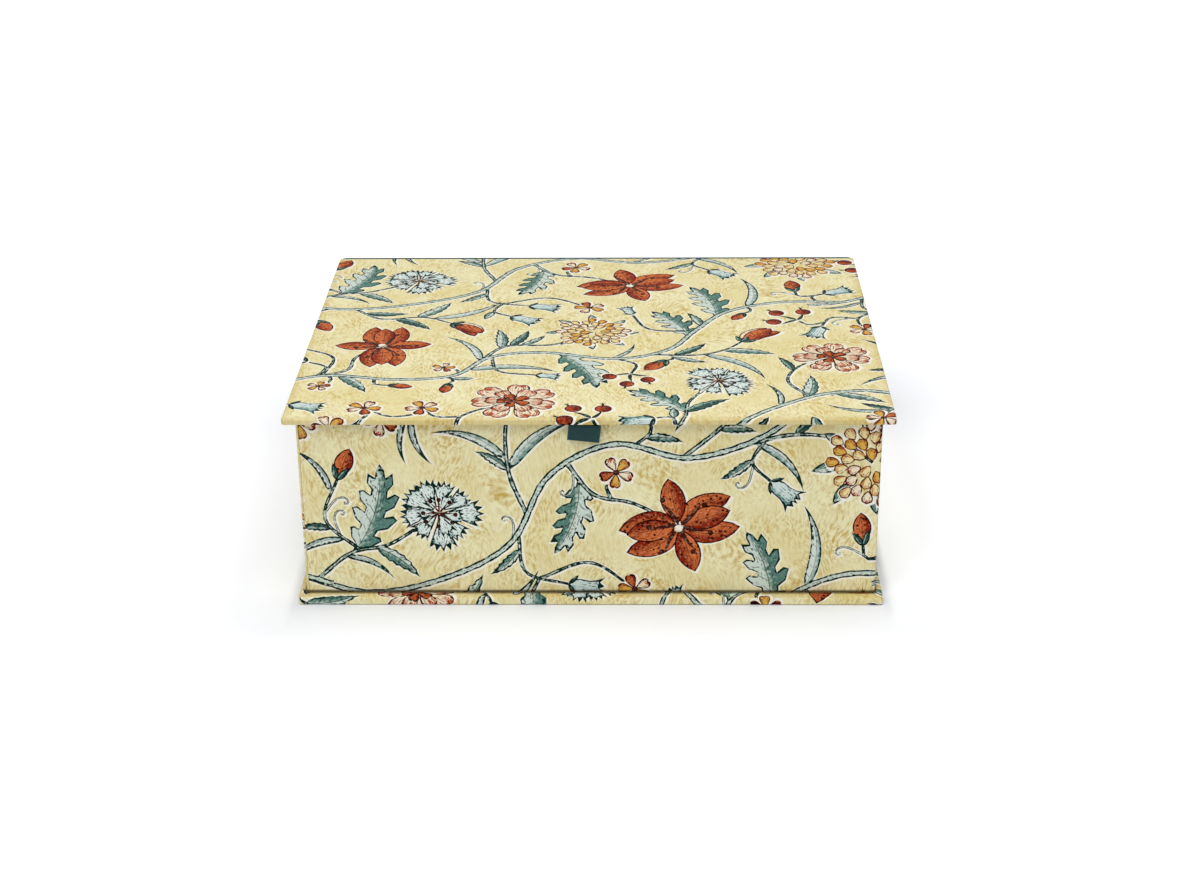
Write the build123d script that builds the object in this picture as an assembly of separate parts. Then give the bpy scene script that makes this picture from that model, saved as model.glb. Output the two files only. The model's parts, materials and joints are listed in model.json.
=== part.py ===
from build123d import *
import os

# A keepsake box made the bookbinder's way. Lid, spine and base are greyboards joined
# by one hinge of book cloth, printed paper covers them, a paper-covered tray is glued
# on the base, and a folded ribbon hangs under the lid's front edge as the pull.
# Millimetres. +Z is up and the front faces -Y. The origin is on the table, under the
# middle of the box.

# The box as a whole
LID_WIDTH = 240.0
LID_DEPTH = 189.0  # front edge of the lid to the back of the hinge cloth
BOX_HEIGHT = 82.0  # table to the top of the lid
BASE_INSET = 1.75  # the base is this much narrower than the lid, on each side
SIDE_OVERHANG = 4.8  # lid past the tray, on each side
FRONT_OVERHANG = 5.0  # lid and base past the tray, at the front

# Boards and what covers them
LID_BOARD = 1.9
BASE_BOARD = 2.7
SPINE_BOARD = 2.0
WALL_BOARD = 2.0
FLOOR_BOARD = 1.5
PAPER = 0.25  # printed cover paper
CLOTH = 0.4  # book cloth of the hinge
STRIP = 0.25  # thin cloth of the inner hinge
LINING = 0.2  # plain lining paper
TAPE = 0.12  # gummed tape that holds the tray's corners

# How the covers are cut
TURN_IN = 15.0  # paper and cloth turned over a board's edge
CLOTH_LAP = 16.0  # hinge cloth under the cover paper
CLOTH_SHOW = 1.6  # hinge cloth left bare along the back edge
STRIP_LAP = 18.0  # inner hinge on the lid
STRIP_SHOW = 12.0  # inner hinge left bare by the lid's lining
STRIP_DROP = 12.0  # inner hinge down the inside of the tray
LINING_MARGIN = 3.0  # cover paper left bare round a lining
LINING_STEP = 0.5  # slack of the lid's lining where it dips between the turn-ins
TAPE_LEG = 14.0
SEAM_IN = 0.9  # the tray paper's seam, in from the front left corner
SLIT = 0.15  # width of a cut seam or mitre

# Softened corners, seen from above, and edges
LID_FRONT_ROUND = 1.5
LID_BACK_ROUND = 3.0
BASE_FRONT_ROUND = 1.2
BASE_BACK_ROUND = 2.0
SPINE_ROUND = 0.6
TRAY_ROUND = 0.9
EDGE_ROUND = 0.7
FOLD_ROUND = 0.4  # where the paper turns in
RIM_ROUND = 0.2

# Ribbon pull, a loop with its two ends glued under the lid
RIBBON_WIDTH = 12.7
RIBBON_THICK = 0.25
RIBBON_OPEN = 0.5  # space inside the loop
RIBBON_DROP = 7.2
RIBBON_OFFSET = -1.3  # left of the middle
RIBBON_SETBACK = 1.6  # behind the lid's front edge
RIBBON_SKEW = 6.0  # degrees, as it was glued
TAIL_SHORT = 1.0  # the ends stop this far inside the turn-in

# Running clearances
LID_GAP = 0.1
RIBBON_GAP = 0.05

# Places that follow from the sizes
FRONT = -LID_DEPTH / 2
BACK = LID_DEPTH / 2
LID_HALF = LID_WIDTH / 2
BASE_HALF = LID_HALF - BASE_INSET
TRAY_HALF = LID_HALF - SIDE_OVERHANG
TRAY_FRONT = FRONT + FRONT_OVERHANG
SPINE_FRONT = BACK - CLOTH - SPINE_BOARD - CLOTH
TRAY_BACK = SPINE_FRONT
BASE_BOARD_TOP = PAPER + BASE_BOARD
BASE_TOP = BASE_BOARD_TOP + PAPER
FLOOR_TOP = BASE_TOP + FLOOR_BOARD
LID_UNDER = BOX_HEIGHT - PAPER - LID_BOARD
LID_FACE = LID_UNDER - max(PAPER, STRIP)  # face of the lid's turn-ins and inner hinge
RIM = LID_UNDER - LID_GAP - max(PAPER + LINING, 2 * STRIP)
HINGE_LINE = (RIM + LID_UNDER) / 2
SKIN = PAPER + TAPE  # from the face of the tray's paper to the wall board
WALL_X = TRAY_HALF - SKIN
WALL_FRONT = TRAY_FRONT + SKIN
WALL_BACK = TRAY_BACK - SKIN
ROOM_X = WALL_X - WALL_BOARD
ROOM_FRONT = WALL_FRONT + WALL_BOARD
ROOM_BACK = WALL_BACK - WALL_BOARD
WALL_TOP = RIM - PAPER
RIBBON_FRONT = FRONT + RIBBON_SETBACK
RIBBON_TOP = LID_UNDER - PAPER - RIBBON_GAP
PAST = 1.0  # how far a cutter runs past what it cuts


def block(x0, x1, y0, y1, z0, z1):
    """Plain block between two corners."""
    corner = (Align.MIN, Align.MIN, Align.MIN)
    return Pos(x0, y0, z0) * Box(x1 - x0, y1 - y0, z1 - z0, align=corner)


def softened(solid, edges, radius):
    """Fillet that leaves a corner sharp where the radius has gone to nothing."""
    if radius < 0.02:
        return solid
    return fillet(edges, radius)


def slab(half, front, back, low, high, front_round, back_round, top_round=0.0, low_round=0.0):
    """Board, or the envelope of one, rounded in plan and along its top and bottom."""
    body = block(-half, half, front, back, low, high)
    body = softened(body, body.edges().filter_by(Axis.Z).group_by(Axis.Y)[0], front_round)
    body = softened(body, body.edges().filter_by(Axis.Z).group_by(Axis.Y)[-1], back_round)
    wall = 0.45 * (high - low)
    body = softened(body, body.edges().group_by(Axis.Z)[-1], min(top_round, wall))
    body = softened(body, body.edges().group_by(Axis.Z)[0], min(low_round, wall))
    return body


def back_cloth(inside, half, low, back_round):
    """Hinge cloth over a board's back edge, laid into the board so the paper lies flat."""
    core_round = back_round - CLOTH
    core = slab(half - CLOTH, FRONT, BACK - CLOTH, low - PAST, -PAPER - CLOTH, 0, core_round)
    lap = block(-half, half, BACK - CLOTH_LAP, BACK, low, 0)
    return (inside & lap) - core


def mitre_slit(half, high, front_round):
    """Cut between the front and the right turn-in, from the window to near the corner."""
    stop = front_round + EDGE_ROUND
    run = (TURN_IN - stop) * 2**0.5
    slit = block(-PAST, run, -SLIT / 2, SLIT / 2, high - PAPER - PAST, high)
    return Pos(half - TURN_IN, FRONT + TURN_IN, 0) * Rot(0, 0, -45) * slit


def wrapped_board(half, board, front_round, back_round, turn_in_stop, cloth_foot):
    """Board, cover paper and back cloth of one half of the case.

    The outside lies at z = 0 and faces up. The side turn-ins stop turn_in_stop from the
    back, and the cloth goes cloth_foot below the board.
    """
    under = -PAPER - board
    below = under - PAPER - PAST
    outer_edge = min(EDGE_ROUND, 0.8 * front_round)
    outside = slab(
        half, FRONT, BACK + PAPER, under - PAPER, 0,
        front_round, back_round + PAPER, outer_edge, FOLD_ROUND,
    )

    def filling(low):
        return slab(
            half - PAPER, FRONT + PAPER, BACK, low, -PAPER,
            front_round - PAPER, back_round, outer_edge - PAPER,
        )

    cloth = back_cloth(filling(under - cloth_foot), half - PAPER, under - cloth_foot, back_round)
    inside = filling(under)
    window_half = half - TURN_IN
    bare_back = block(-half, half, BACK - CLOTH_SHOW, BACK + PAPER, below, 0)
    window = block(-window_half, window_half, FRONT + TURN_IN, BACK, below, under)
    ends = block(PAPER - half, half - PAPER, BACK - turn_in_stop, BACK, below, under)
    slit = mitre_slit(half, under, front_round)
    paper = outside - inside - bare_back - window - ends - slit - mirror(slit, Plane.YZ)
    return inside - cloth, paper, cloth


def lid_parts():
    """Lid board, cover paper, hinge cloth, inner hinge, lining and the ribbon's ends."""
    board, paper, cloth = wrapped_board(
        LID_HALF, LID_BOARD, LID_FRONT_ROUND, LID_BACK_ROUND, STRIP_LAP, STRIP,
    )
    top = Pos(0, 0, BOX_HEIGHT)
    tail = block(
        RIBBON_OFFSET - RIBBON_WIDTH / 2, RIBBON_OFFSET + RIBBON_WIDTH / 2,
        RIBBON_FRONT, FRONT + TURN_IN - TAIL_SHORT,
        LID_UNDER - PAPER, LID_UNDER - PAPER + 2 * RIBBON_THICK,
    )
    strip_half = LID_HALF - PAPER - CLOTH
    strip = slab(
        strip_half, BACK - STRIP_LAP, BACK - CLOTH, LID_UNDER - STRIP, LID_UNDER,
        0, LID_BACK_ROUND - CLOTH,
    )
    return {
        "lid_board": top * board - tail,
        "lid_cover_paper": top * paper - tail,
        "lid_hinge_cloth": top * cloth,
        "lid_inner_hinge": strip,
        "lid_lining": lid_lining(),
        "ribbon_ends": tail,
    }


def lid_lining():
    """Lining sheet under the lid, which dips on to the board between the turn-ins."""
    half = LID_HALF - LINING_MARGIN
    sheet = block(-half, half, FRONT + LINING_MARGIN, BACK - STRIP_SHOW, LID_FACE - LINING, LID_FACE)
    dip_half = LID_HALF - TURN_IN - LINING_STEP
    dip_front = FRONT + TURN_IN + LINING_STEP
    dip_back = BACK - STRIP_LAP - LINING_STEP
    dip = block(-dip_half, dip_half, dip_front, dip_back, LID_FACE - LINING, LID_UNDER)
    hollow = block(
        LINING - dip_half, dip_half - LINING, dip_front + LINING, dip_back - LINING,
        LID_FACE - LINING - PAST, LID_UNDER - LINING,
    )
    return sheet + dip - hollow


def spine_and_base_parts():
    """Base board and paper, spine board, and the one cloth that covers spine and base edge."""
    board, paper, base_cloth = wrapped_board(
        BASE_HALF, BASE_BOARD, BASE_FRONT_ROUND, BASE_BACK_ROUND, BACK - SPINE_FRONT, 0,
    )
    half = BASE_HALF - PAPER
    spine = slab(
        half - CLOTH, SPINE_FRONT + CLOTH, BACK - CLOTH, BASE_BOARD_TOP, RIM,
        0, BASE_BACK_ROUND - CLOTH,
    )
    strip = tray_inner_hinge()
    jacket = slab(
        half, SPINE_FRONT, BACK, BASE_BOARD_TOP, RIM + STRIP, SPINE_ROUND, BASE_BACK_ROUND,
    )
    open_half = BASE_HALF - TURN_IN
    opening = block(
        -open_half, open_half, SPINE_FRONT, SPINE_FRONT + CLOTH, BASE_BOARD_TOP, RIM + STRIP,
    )
    over_turn_ins = block(-half, half, SPINE_FRONT, SPINE_FRONT + CLOTH, RIM, RIM + STRIP)
    cloth = jacket - spine - strip - opening - over_turn_ins + mirror(base_cloth, Plane.XY)
    return {
        "base_board": mirror(board, Plane.XY),
        "base_cover_paper": mirror(paper, Plane.XY),
        "spine_board": spine,
        "spine_cloth": cloth,
        "tray_inner_hinge": strip,
    }


def tray_inner_hinge():
    """Thin cloth over the top of the spine and the tray's back wall, and down inside it."""
    face = ROOM_BACK - PAPER
    over_spine = slab(
        BASE_HALF - PAPER - CLOTH, SPINE_FRONT, BACK - CLOTH, RIM, RIM + STRIP,
        0, BASE_BACK_ROUND - CLOTH,
    )
    over_wall = block(-TRAY_HALF, TRAY_HALF, face - STRIP, SPINE_FRONT, RIM, RIM + STRIP)
    drop_half = ROOM_X - PAPER - LINING
    drop = block(-drop_half, drop_half, face - STRIP, face, RIM - STRIP_DROP, RIM)
    return over_spine + over_wall + drop


def tray_boards():
    """Four walls, the side walls running full depth, and the floor between them."""
    outline = slab(
        WALL_X, WALL_FRONT, WALL_BACK, BASE_TOP, WALL_TOP, TRAY_ROUND - SKIN, TRAY_ROUND - SKIN,
    )
    side = block(ROOM_X, WALL_X, WALL_FRONT, WALL_BACK, BASE_TOP, WALL_TOP) & outline
    return {
        "tray_left_wall": mirror(side, Plane.YZ),
        "tray_right_wall": side,
        "tray_front_wall": block(-ROOM_X, ROOM_X, WALL_FRONT, ROOM_FRONT, BASE_TOP, WALL_TOP),
        "tray_back_wall": block(-ROOM_X, ROOM_X, ROOM_BACK, WALL_BACK, BASE_TOP, WALL_TOP),
        "tray_floor": block(-ROOM_X, ROOM_X, ROOM_FRONT, ROOM_BACK, BASE_TOP, FLOOR_TOP),
    }


def corner_tapes():
    """Four L-shaped strips of gummed tape round the tray's outer corners."""
    tape_round = TRAY_ROUND - PAPER
    outer = slab(
        WALL_X + TAPE, WALL_FRONT - TAPE, WALL_BACK + TAPE, BASE_TOP, WALL_TOP, tape_round, tape_round,
    )
    inner = slab(
        WALL_X, WALL_FRONT, WALL_BACK, BASE_TOP, WALL_TOP, tape_round - TAPE, tape_round - TAPE,
    )
    leg_x = WALL_X - TAPE_LEG
    middle_x = block(-leg_x, leg_x, TRAY_FRONT, TRAY_BACK, BASE_TOP, WALL_TOP)
    middle_y = block(
        -TRAY_HALF, TRAY_HALF, WALL_FRONT + TAPE_LEG, WALL_BACK - TAPE_LEG, BASE_TOP, WALL_TOP,
    )
    return outer - inner - middle_x - middle_y


def tray_wrap():
    """One strip of printed paper round the tray, turned over the rim and down inside."""
    outer = slab(
        TRAY_HALF, TRAY_FRONT, TRAY_BACK, BASE_TOP, RIM, TRAY_ROUND, TRAY_ROUND, RIM_ROUND,
    )
    behind = slab(
        TRAY_HALF - PAPER, TRAY_FRONT + PAPER, TRAY_BACK - PAPER, BASE_TOP, WALL_TOP,
        TRAY_ROUND - PAPER, TRAY_ROUND - PAPER,
    )
    inner_band = block(-ROOM_X, ROOM_X, ROOM_FRONT, ROOM_BACK, RIM - TURN_IN, WALL_TOP)
    room = block(
        PAPER - ROOM_X, ROOM_X - PAPER, ROOM_FRONT + PAPER, ROOM_BACK - PAPER, BASE_TOP, RIM,
    )
    seam_x = SEAM_IN - TRAY_HALF
    seam = block(seam_x, seam_x + SLIT, TRAY_FRONT, TRAY_FRONT + PAPER, BASE_TOP, WALL_TOP)
    return outer - (behind - inner_band) - room - seam


def wall_lining(length, top):
    """Lining of one wall, standing on the floor lining, stepped where it meets the turn-in.

    The wall's inner face lies at y = 0 and the lining on its +Y side.
    """
    step = RIM - TURN_IN
    outline = Polygon(
        (0, FLOOR_TOP + LINING),
        (LINING, FLOOR_TOP + LINING),
        (LINING, step - LINING),
        (PAPER + LINING, step - LINING),
        (PAPER + LINING, top),
        (PAPER, top),
        (PAPER, step),
        (0, step),
        align=None,
    )
    return extrude(Plane.YZ * outline, amount=length / 2, both=True)


def tray_linings(wrap):
    """Floor lining and the four wall linings, the side ones between the front and the back."""
    lining_top = RIM - LINING_MARGIN
    room_depth = ROOM_BACK - ROOM_FRONT
    middle_y = (ROOM_FRONT + ROOM_BACK) / 2
    front = Pos(0, ROOM_FRONT, 0) * wall_lining(2 * ROOM_X, lining_top) - wrap
    back = Pos(0, ROOM_BACK, 0) * Rot(0, 0, 180) * wall_lining(2 * ROOM_X, RIM - STRIP_DROP) - wrap
    right = Pos(ROOM_X, middle_y, 0) * Rot(0, 0, 90) * wall_lining(room_depth, lining_top)
    right = right - wrap - front - back
    return {
        "tray_floor_lining": block(
            -ROOM_X, ROOM_X, ROOM_FRONT, ROOM_BACK, FLOOR_TOP, FLOOR_TOP + LINING,
        ),
        "tray_front_lining": front,
        "tray_back_lining": back,
        "tray_right_lining": right,
        "tray_left_lining": mirror(right, Plane.YZ),
    }


def pull_ribbon():
    """Loop of ribbon that hangs under the lid, folded round at the bottom and a little skew."""
    outer_radius = RIBBON_THICK + RIBBON_OPEN / 2
    inner_radius = RIBBON_OPEN / 2
    middle_y = RIBBON_FRONT + outer_radius
    bend_z = RIBBON_TOP - RIBBON_DROP + outer_radius
    above = RIBBON_TOP + RIBBON_WIDTH

    def hairpin(radius):
        sides = block(0, RIBBON_WIDTH, middle_y - radius, middle_y + radius, bend_z, above)
        bend = Pos(RIBBON_WIDTH / 2, middle_y, bend_z) * Rot(0, 90, 0) * Cylinder(radius, RIBBON_WIDTH)
        return Pos(RIBBON_OFFSET - RIBBON_WIDTH / 2, 0, 0) * (sides + bend)

    loop = hairpin(outer_radius) - hairpin(inner_radius)
    pivot = Pos(RIBBON_OFFSET, 0, RIBBON_TOP)
    skewed = pivot * Rot(0, RIBBON_SKEW, 0) * pivot.inverse() * loop
    below_lid = block(-LID_HALF, LID_HALF, FRONT, BACK, 0, RIBBON_TOP)
    return skewed & below_lid


def build():
    """Every piece of the box, by name."""
    wrap = tray_wrap()
    parts = {}
    parts.update(lid_parts())
    parts.update(spine_and_base_parts())
    parts.update(tray_boards())
    parts["corner_tapes"] = corner_tapes()
    parts["tray_cover_paper"] = wrap
    parts.update(tray_linings(wrap))
    parts["pull_ribbon"] = pull_ribbon()
    return parts


os.makedirs("parts", exist_ok=True)
for name, shape in build().items():
    export_step(shape, f"parts/{name}.step")
print("lid hinge at y", BACK, "z", round(HINGE_LINE, 4))
print("ribbon hinge at y", round(RIBBON_FRONT, 4), "z", round(RIBBON_TOP, 4))
print("tray room x", round(ROOM_X, 3), "y", round(ROOM_FRONT, 3), round(ROOM_BACK, 3))
print("tray room z", round(FLOOR_TOP + LINING, 3), round(RIM, 3))
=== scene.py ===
import json
import math
import random

import bmesh
import bpy
import numpy as np
from mathutils import Matrix, Vector
from mathutils.geometry import delaunay_2d_cdt

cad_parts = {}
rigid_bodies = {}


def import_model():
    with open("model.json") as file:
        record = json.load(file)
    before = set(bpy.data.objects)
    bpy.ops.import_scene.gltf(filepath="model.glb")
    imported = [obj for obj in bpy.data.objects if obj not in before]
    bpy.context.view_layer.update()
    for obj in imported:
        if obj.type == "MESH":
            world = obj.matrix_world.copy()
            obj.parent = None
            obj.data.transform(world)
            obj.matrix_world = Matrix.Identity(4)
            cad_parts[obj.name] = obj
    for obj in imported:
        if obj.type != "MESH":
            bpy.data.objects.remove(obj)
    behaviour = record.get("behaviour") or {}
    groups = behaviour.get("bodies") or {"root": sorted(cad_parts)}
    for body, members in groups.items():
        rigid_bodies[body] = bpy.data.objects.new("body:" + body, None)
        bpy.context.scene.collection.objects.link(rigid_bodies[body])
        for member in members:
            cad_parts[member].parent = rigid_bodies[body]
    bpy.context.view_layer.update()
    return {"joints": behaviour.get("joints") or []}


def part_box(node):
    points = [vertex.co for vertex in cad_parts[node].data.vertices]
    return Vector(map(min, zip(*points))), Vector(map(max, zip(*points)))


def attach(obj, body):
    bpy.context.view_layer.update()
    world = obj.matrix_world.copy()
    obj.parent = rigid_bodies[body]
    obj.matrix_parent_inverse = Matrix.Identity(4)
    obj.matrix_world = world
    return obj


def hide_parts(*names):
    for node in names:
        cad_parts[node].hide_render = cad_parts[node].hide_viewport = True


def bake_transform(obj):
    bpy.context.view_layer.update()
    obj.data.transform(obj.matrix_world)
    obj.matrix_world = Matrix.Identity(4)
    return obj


# A keepsake box covered in printed paper, hinged with book cloth and pulled open by a
# folded ribbon. The covers are made as they are cut: each is printed flat, then folded
# round its boards. Flat work is in millimetres, the finished pieces are in metres.

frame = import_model()

MM = 0.001


def reach(node):
    """Lowest and highest corner of a CAD node, in millimetres."""
    low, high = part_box(node)
    return np.array(low) / MM, np.array(high) / MM


# Sizes read from the CAD
lid_low, lid_high = reach("lid_cover_paper")
tray_low, tray_high = reach("tray_cover_paper")
tail_low, tail_high = reach("ribbon_ends")
loop_low, loop_high = reach("pull_ribbon")
RIBBON_MIDDLE = (tail_low[0] + tail_high[0]) / 2
LID_HALF = lid_high[0]
BASE_HALF, _, BASE_TOP = reach("base_cover_paper")[1]
FRONT = lid_low[1]
BACK = reach("spine_cloth")[1][1]
LID_TOP = lid_high[2]
LID_FACE = lid_low[2]
TRAY_HALF = tray_high[0]
TRAY_FRONT = tray_low[1]
TRAY_BACK = tray_high[1]
RIM = tray_high[2]
HINGE_LINE = frame["joints"][0]["pos_m"][2] / MM

# Sizes of the paper, cloth and folds, as in the CAD
PAPER = 0.25
PAPER_BODY = 0.2  # thickness drawn, a little under the paper so that it never lies in the board
CLOTH = 0.4
TURN_IN = 15.0
CLOTH_SHOW = 1.6
LID_CLOTH_SHOW = 2.8  # the lid's paper is cut 1.2 mm short, so that the cloth line shows as in the photo
SPINE_DEPTH = 2.8  # cloth, spine board and cloth
STRIP_LAP = 18.0
EDGE_ROUND = 0.7
FOLD_ROUND = 0.4
RIM_ROUND = 0.2
LID_FRONT_ROUND = 1.5
LID_BACK_ROUND = 3.25
BASE_FRONT_ROUND = 1.2
BASE_BACK_ROUND = 2.25
TRAY_ROUND = 0.9
RIM_WIDTH = 2.62  # from the outside of the tray paper to its inside, at the rim
SEAM_IN = 0.9  # from the tray's left side to its paper's seam, at the front
SLIT = 0.15  # half the slit between two turn-ins


# Colours and nodes

def linear(hex_code, alpha=1.0):
    """sRGB hex to a linear colour."""
    def channel(value):
        return value / 12.92 if value <= 0.04045 else ((value + 0.055) / 1.055) ** 2.4
    digits = hex_code.lstrip("#")
    return tuple(channel(int(digits[i:i + 2], 16) / 255) for i in (0, 2, 4)) + (alpha,)


def feed(tree, node, values):
    """Give a node's sockets, by name or number, a value or another node's output."""
    for socket, value in values.items():
        if isinstance(value, bpy.types.Node):
            value = next(output for output in value.outputs if output.enabled)
        if isinstance(value, bpy.types.NodeSocket):
            tree.links.new(value, node.inputs[socket])
        else:
            node.inputs[socket].default_value = value


def add(tree, kind, *feeds, **settings):
    """Add a node with its settings. feeds are for its open sockets in order, or one dict by name.

    A node among the feeds stands for its first output in use.
    """
    node = tree.nodes.new(kind if kind.startswith(("Geometry", "NodeGroup")) else "ShaderNode" + kind)
    for name, value in settings.items():
        setattr(node, name, value)
    if feeds and isinstance(feeds[0], dict):
        feed(tree, node, feeds[0])
    else:
        open_sockets = [number for number, socket in enumerate(node.inputs) if socket.enabled]
        feed(tree, node, dict(zip(open_sockets, feeds)))
    return node


def new_material(name):
    """Empty node material with its output and shader. Returns material, tree and shader."""
    material = bpy.data.materials.new(name)
    material.use_nodes = True
    tree = material.node_tree
    tree.nodes.clear()
    shader = add(tree, "BsdfPrincipled")
    add(tree, "OutputMaterial", shader)
    return material, tree, shader


# Inks of the print: fill, shade, line, then line width in mm, how far the shade reaches,
# how strongly veins, hatching and dots are drawn, and how far the shade flames in from the tip.
INKS = {
    "paper core": ("#EFE9D8", "#E6DFCB", "#D8CFB8", 0.0, 0.0, 0.0, 0.0, 0.0, 0.0),
    "resist": ("#F6F1E0", "#EADFB8", "#E3CE93", 0.0, -0.3, 0.0, 0.0, 0.0, 0.0),
    "stem": ("#D0DDD1", "#87A79B", "#03261E", 0.62, -0.1, 0.0, 0.8, 0.4, 0.0),
    "tendril": ("#DDE3D3", "#9DB7AA", "#1F4038", 0.26, -0.2, 0.0, 0.0, 0.0, 0.0),
    "leaf": ("#D0DDD2", "#557F75", "#03261E", 0.60, 0.12, 0.8, 0.9, 0.0, 0.0),
    "deep leaf": ("#93B2A7", "#28524A", "#061C1A", 0.58, 0.28, 0.8, 0.9, 0.0, 0.0),
    "pale leaf": ("#D8E3DA", "#769A90", "#0A2A26", 0.56, 0.02, 0.4, 1.0, 0.0, 0.0),
    "blue petal": ("#E2EDE7", "#A9C9C8", "#03261E", 0.52, -0.25, 0.0, 1.0, 0.0, 0.35),
    "blue cup": ("#D2E1DC", "#76A09D", "#03261E", 0.52, -0.05, 0.0, 1.0, 0.0, 0.5),
    "brick petal": ("#D06C3A", "#8A2104", "#2A0200", 0.50, 0.05, 0.6, 0.7, 1.0, 0.4),
    "brick cup": ("#CC6636", "#821D04", "#2A0200", 0.48, 0.0, 0.3, 0.9, 0.3, 0.4),
    "flamed petal": ("#F2E3C6", "#B84E24", "#4A0E06", 0.50, -0.5, 0.0, 0.8, 0.0, 1.0),
    "heart": ("#561A12", "#34100A", "#240805", 0.3, 0.2, 0.0, 0.0, 0.0, 0.0),
    "white eye": ("#F6F0DF", "#D9CDA6", "#4A120A", 0.25, 0.0, 0.0, 0.0, 0.0, 0.0),
    "ochre petal": ("#DDAE4C", "#B04A22", "#561A12", 0.42, -0.1, 0.0, 0.8, 0.0, 0.6),
    "cream scale": ("#EFDDA4", "#CC8A38", "#5A1A10", 0.42, -0.1, 0.0, 0.8, 0.0, 0.7),
    "berry": ("#AE421F", "#681606", "#300603", 0.45, 0.25, 0.0, 0.2, 0.5, 0.0),
    "line": ("#451410", "#34100A", "#34100A", 0.0, 0.0, 0.0, 0.0, 0.0, 0.0),
}


# Drawings of the print, each one unit long and growing along +X

def leaf_shape(width, fullness, tip, steps=9, teeth=0.0):
    """Upper edge of a leaf or petal. fullness and tip set how its base and tip close."""
    widest = fullness / (fullness + tip)
    edge = []
    for i in range(1, steps):
        x = i / steps
        y = width * (x / widest) ** fullness * ((1 - x) / (1 - widest)) ** tip
        edge.append((x - 0.35 / steps, y * (1 - teeth)) if teeth and i % 2 else (x, y))
    return edge


def round_shape(steps=7):
    """Upper edge of a disc."""
    turns = [math.pi * i / steps for i in range(1, steps)]
    return [(0.5 - 0.5 * math.cos(a), 0.5 * math.sin(a)) for a in turns]


# Upper edges that leaf_shape can't give
NOTCHED = [(0.0, 0.04), (0.2, 0.15), (0.42, 0.25), (0.64, 0.32), (0.82, 0.31), (0.95, 0.22),
           (1.0, 0.10)]
TOOTHED = [(0.0, 0.03), (0.25, 0.11), (0.5, 0.21), (0.72, 0.29), (0.93, 0.36), (0.80, 0.21),
           (1.02, 0.18), (0.86, 0.07)]
BELL = [(0.0, 0.06), (0.1, 0.19), (0.3, 0.25), (0.58, 0.25), (0.8, 0.33), (1.0, 0.47), (0.88, 0.26),
        (1.04, 0.15), (0.9, 0.06)]
LOBED = [(0.0, 0.02), (0.08, 0.04), (0.12, 0.11), (0.22, 0.17), (0.25, 0.14), (0.24, 0.08),
         (0.3, 0.09), (0.35, 0.17), (0.46, 0.23), (0.49, 0.18), (0.45, 0.10), (0.51, 0.10),
         (0.57, 0.17), (0.68, 0.20), (0.70, 0.15), (0.65, 0.08), (0.72, 0.08), (0.79, 0.13),
         (0.90, 0.12), (0.85, 0.05), (0.93, 0.04)]

# name: upper edge, lower edge or None for the same, bend in radians, where the tip is
DRAWINGS = {
    "round petal": (NOTCHED, None, 0.0, 0.93),
    "pointed petal": (leaf_shape(0.20, 0.9, 0.85), None, 0.0, 1.0),
    "petal turned left": (leaf_shape(0.21, 0.8, 0.7), leaf_shape(0.16, 0.7, 0.8), 0.9, 1.0),
    "petal turned right": (leaf_shape(0.16, 0.7, 0.8), leaf_shape(0.21, 0.8, 0.7), -0.9, 1.0),
    "toothed petal": (TOOTHED, None, 0.0, 1.06),
    "scale": (leaf_shape(0.36, 0.8, 0.5, 6), None, 0.0, 1.0),
    "bell": (BELL, None, 0.0, 1.06),
    "disc": (round_shape(), None, 0.0, 1.0),
    "dot": (round_shape(3), None, 0.0, 1.0),
    "leaf": (leaf_shape(0.16, 0.7, 1.0, 12, 0.2), leaf_shape(0.12, 0.6, 1.0, 12, 0.2), 0.6, 1.0),
    "leaf turned right": (
        leaf_shape(0.12, 0.6, 1.0, 12, 0.2), leaf_shape(0.16, 0.7, 1.0, 12, 0.2), -0.6, 1.0),
    "blade": (leaf_shape(0.075, 0.5, 1.1, 9), leaf_shape(0.05, 0.5, 1.1, 9), 1.1, 1.0),
    "blade turned right": (leaf_shape(0.05, 0.5, 1.1, 9), leaf_shape(0.075, 0.5, 1.1, 9), -1.1, 1.0),
    "lobed leaf": (LOBED, None, 0.7, 1.0),
    "lobed leaf turned right": (LOBED, None, -0.7, 1.0),
    "leaflet": (leaf_shape(0.20, 0.7, 0.9, 7), None, 0.25, 1.0),
    "stroke": (leaf_shape(0.045, 0.3, 0.8, 5), None, 0.3, 1.0),
    "crown": ([(0.0, 0.12), (0.45, 0.16), (1.0, 0.42), (0.55, 0.10)], None, 0.0, 1.0),
}
DRAWING_NAMES = list(DRAWINGS)


def bent(points, bend):
    """Points of a straight drawing carried round an arc."""
    points = np.asarray(points, float)
    if abs(bend) < 1e-6:
        return points
    angle = bend * points[:, 0]
    middle = np.stack([np.sin(angle), 1 - np.cos(angle)], 1) / bend
    side = np.stack([-np.sin(angle), np.cos(angle)], 1)
    return middle + side * points[:, 1:2]


def to_outline(point, outline):
    """Shortest distance from a point to a closed outline, below 0 outside it."""
    a = outline
    b = np.roll(outline, -1, axis=0)
    run = b - a
    share = np.clip(((point - a) * run).sum(1) / np.maximum((run * run).sum(1), 1e-12), 0, 1)
    gap = float(np.sqrt(((a + run * share[:, None] - point) ** 2).sum(1).min()))
    spans = (a[:, 1] > point[1]) != (b[:, 1] > point[1])
    meets = a[:, 0] + (point[1] - a[:, 1]) * run[:, 0] / np.where(spans, run[:, 1], 1.0)
    return gap if (spans & (point[0] < meets)).sum() % 2 else -gap


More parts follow.
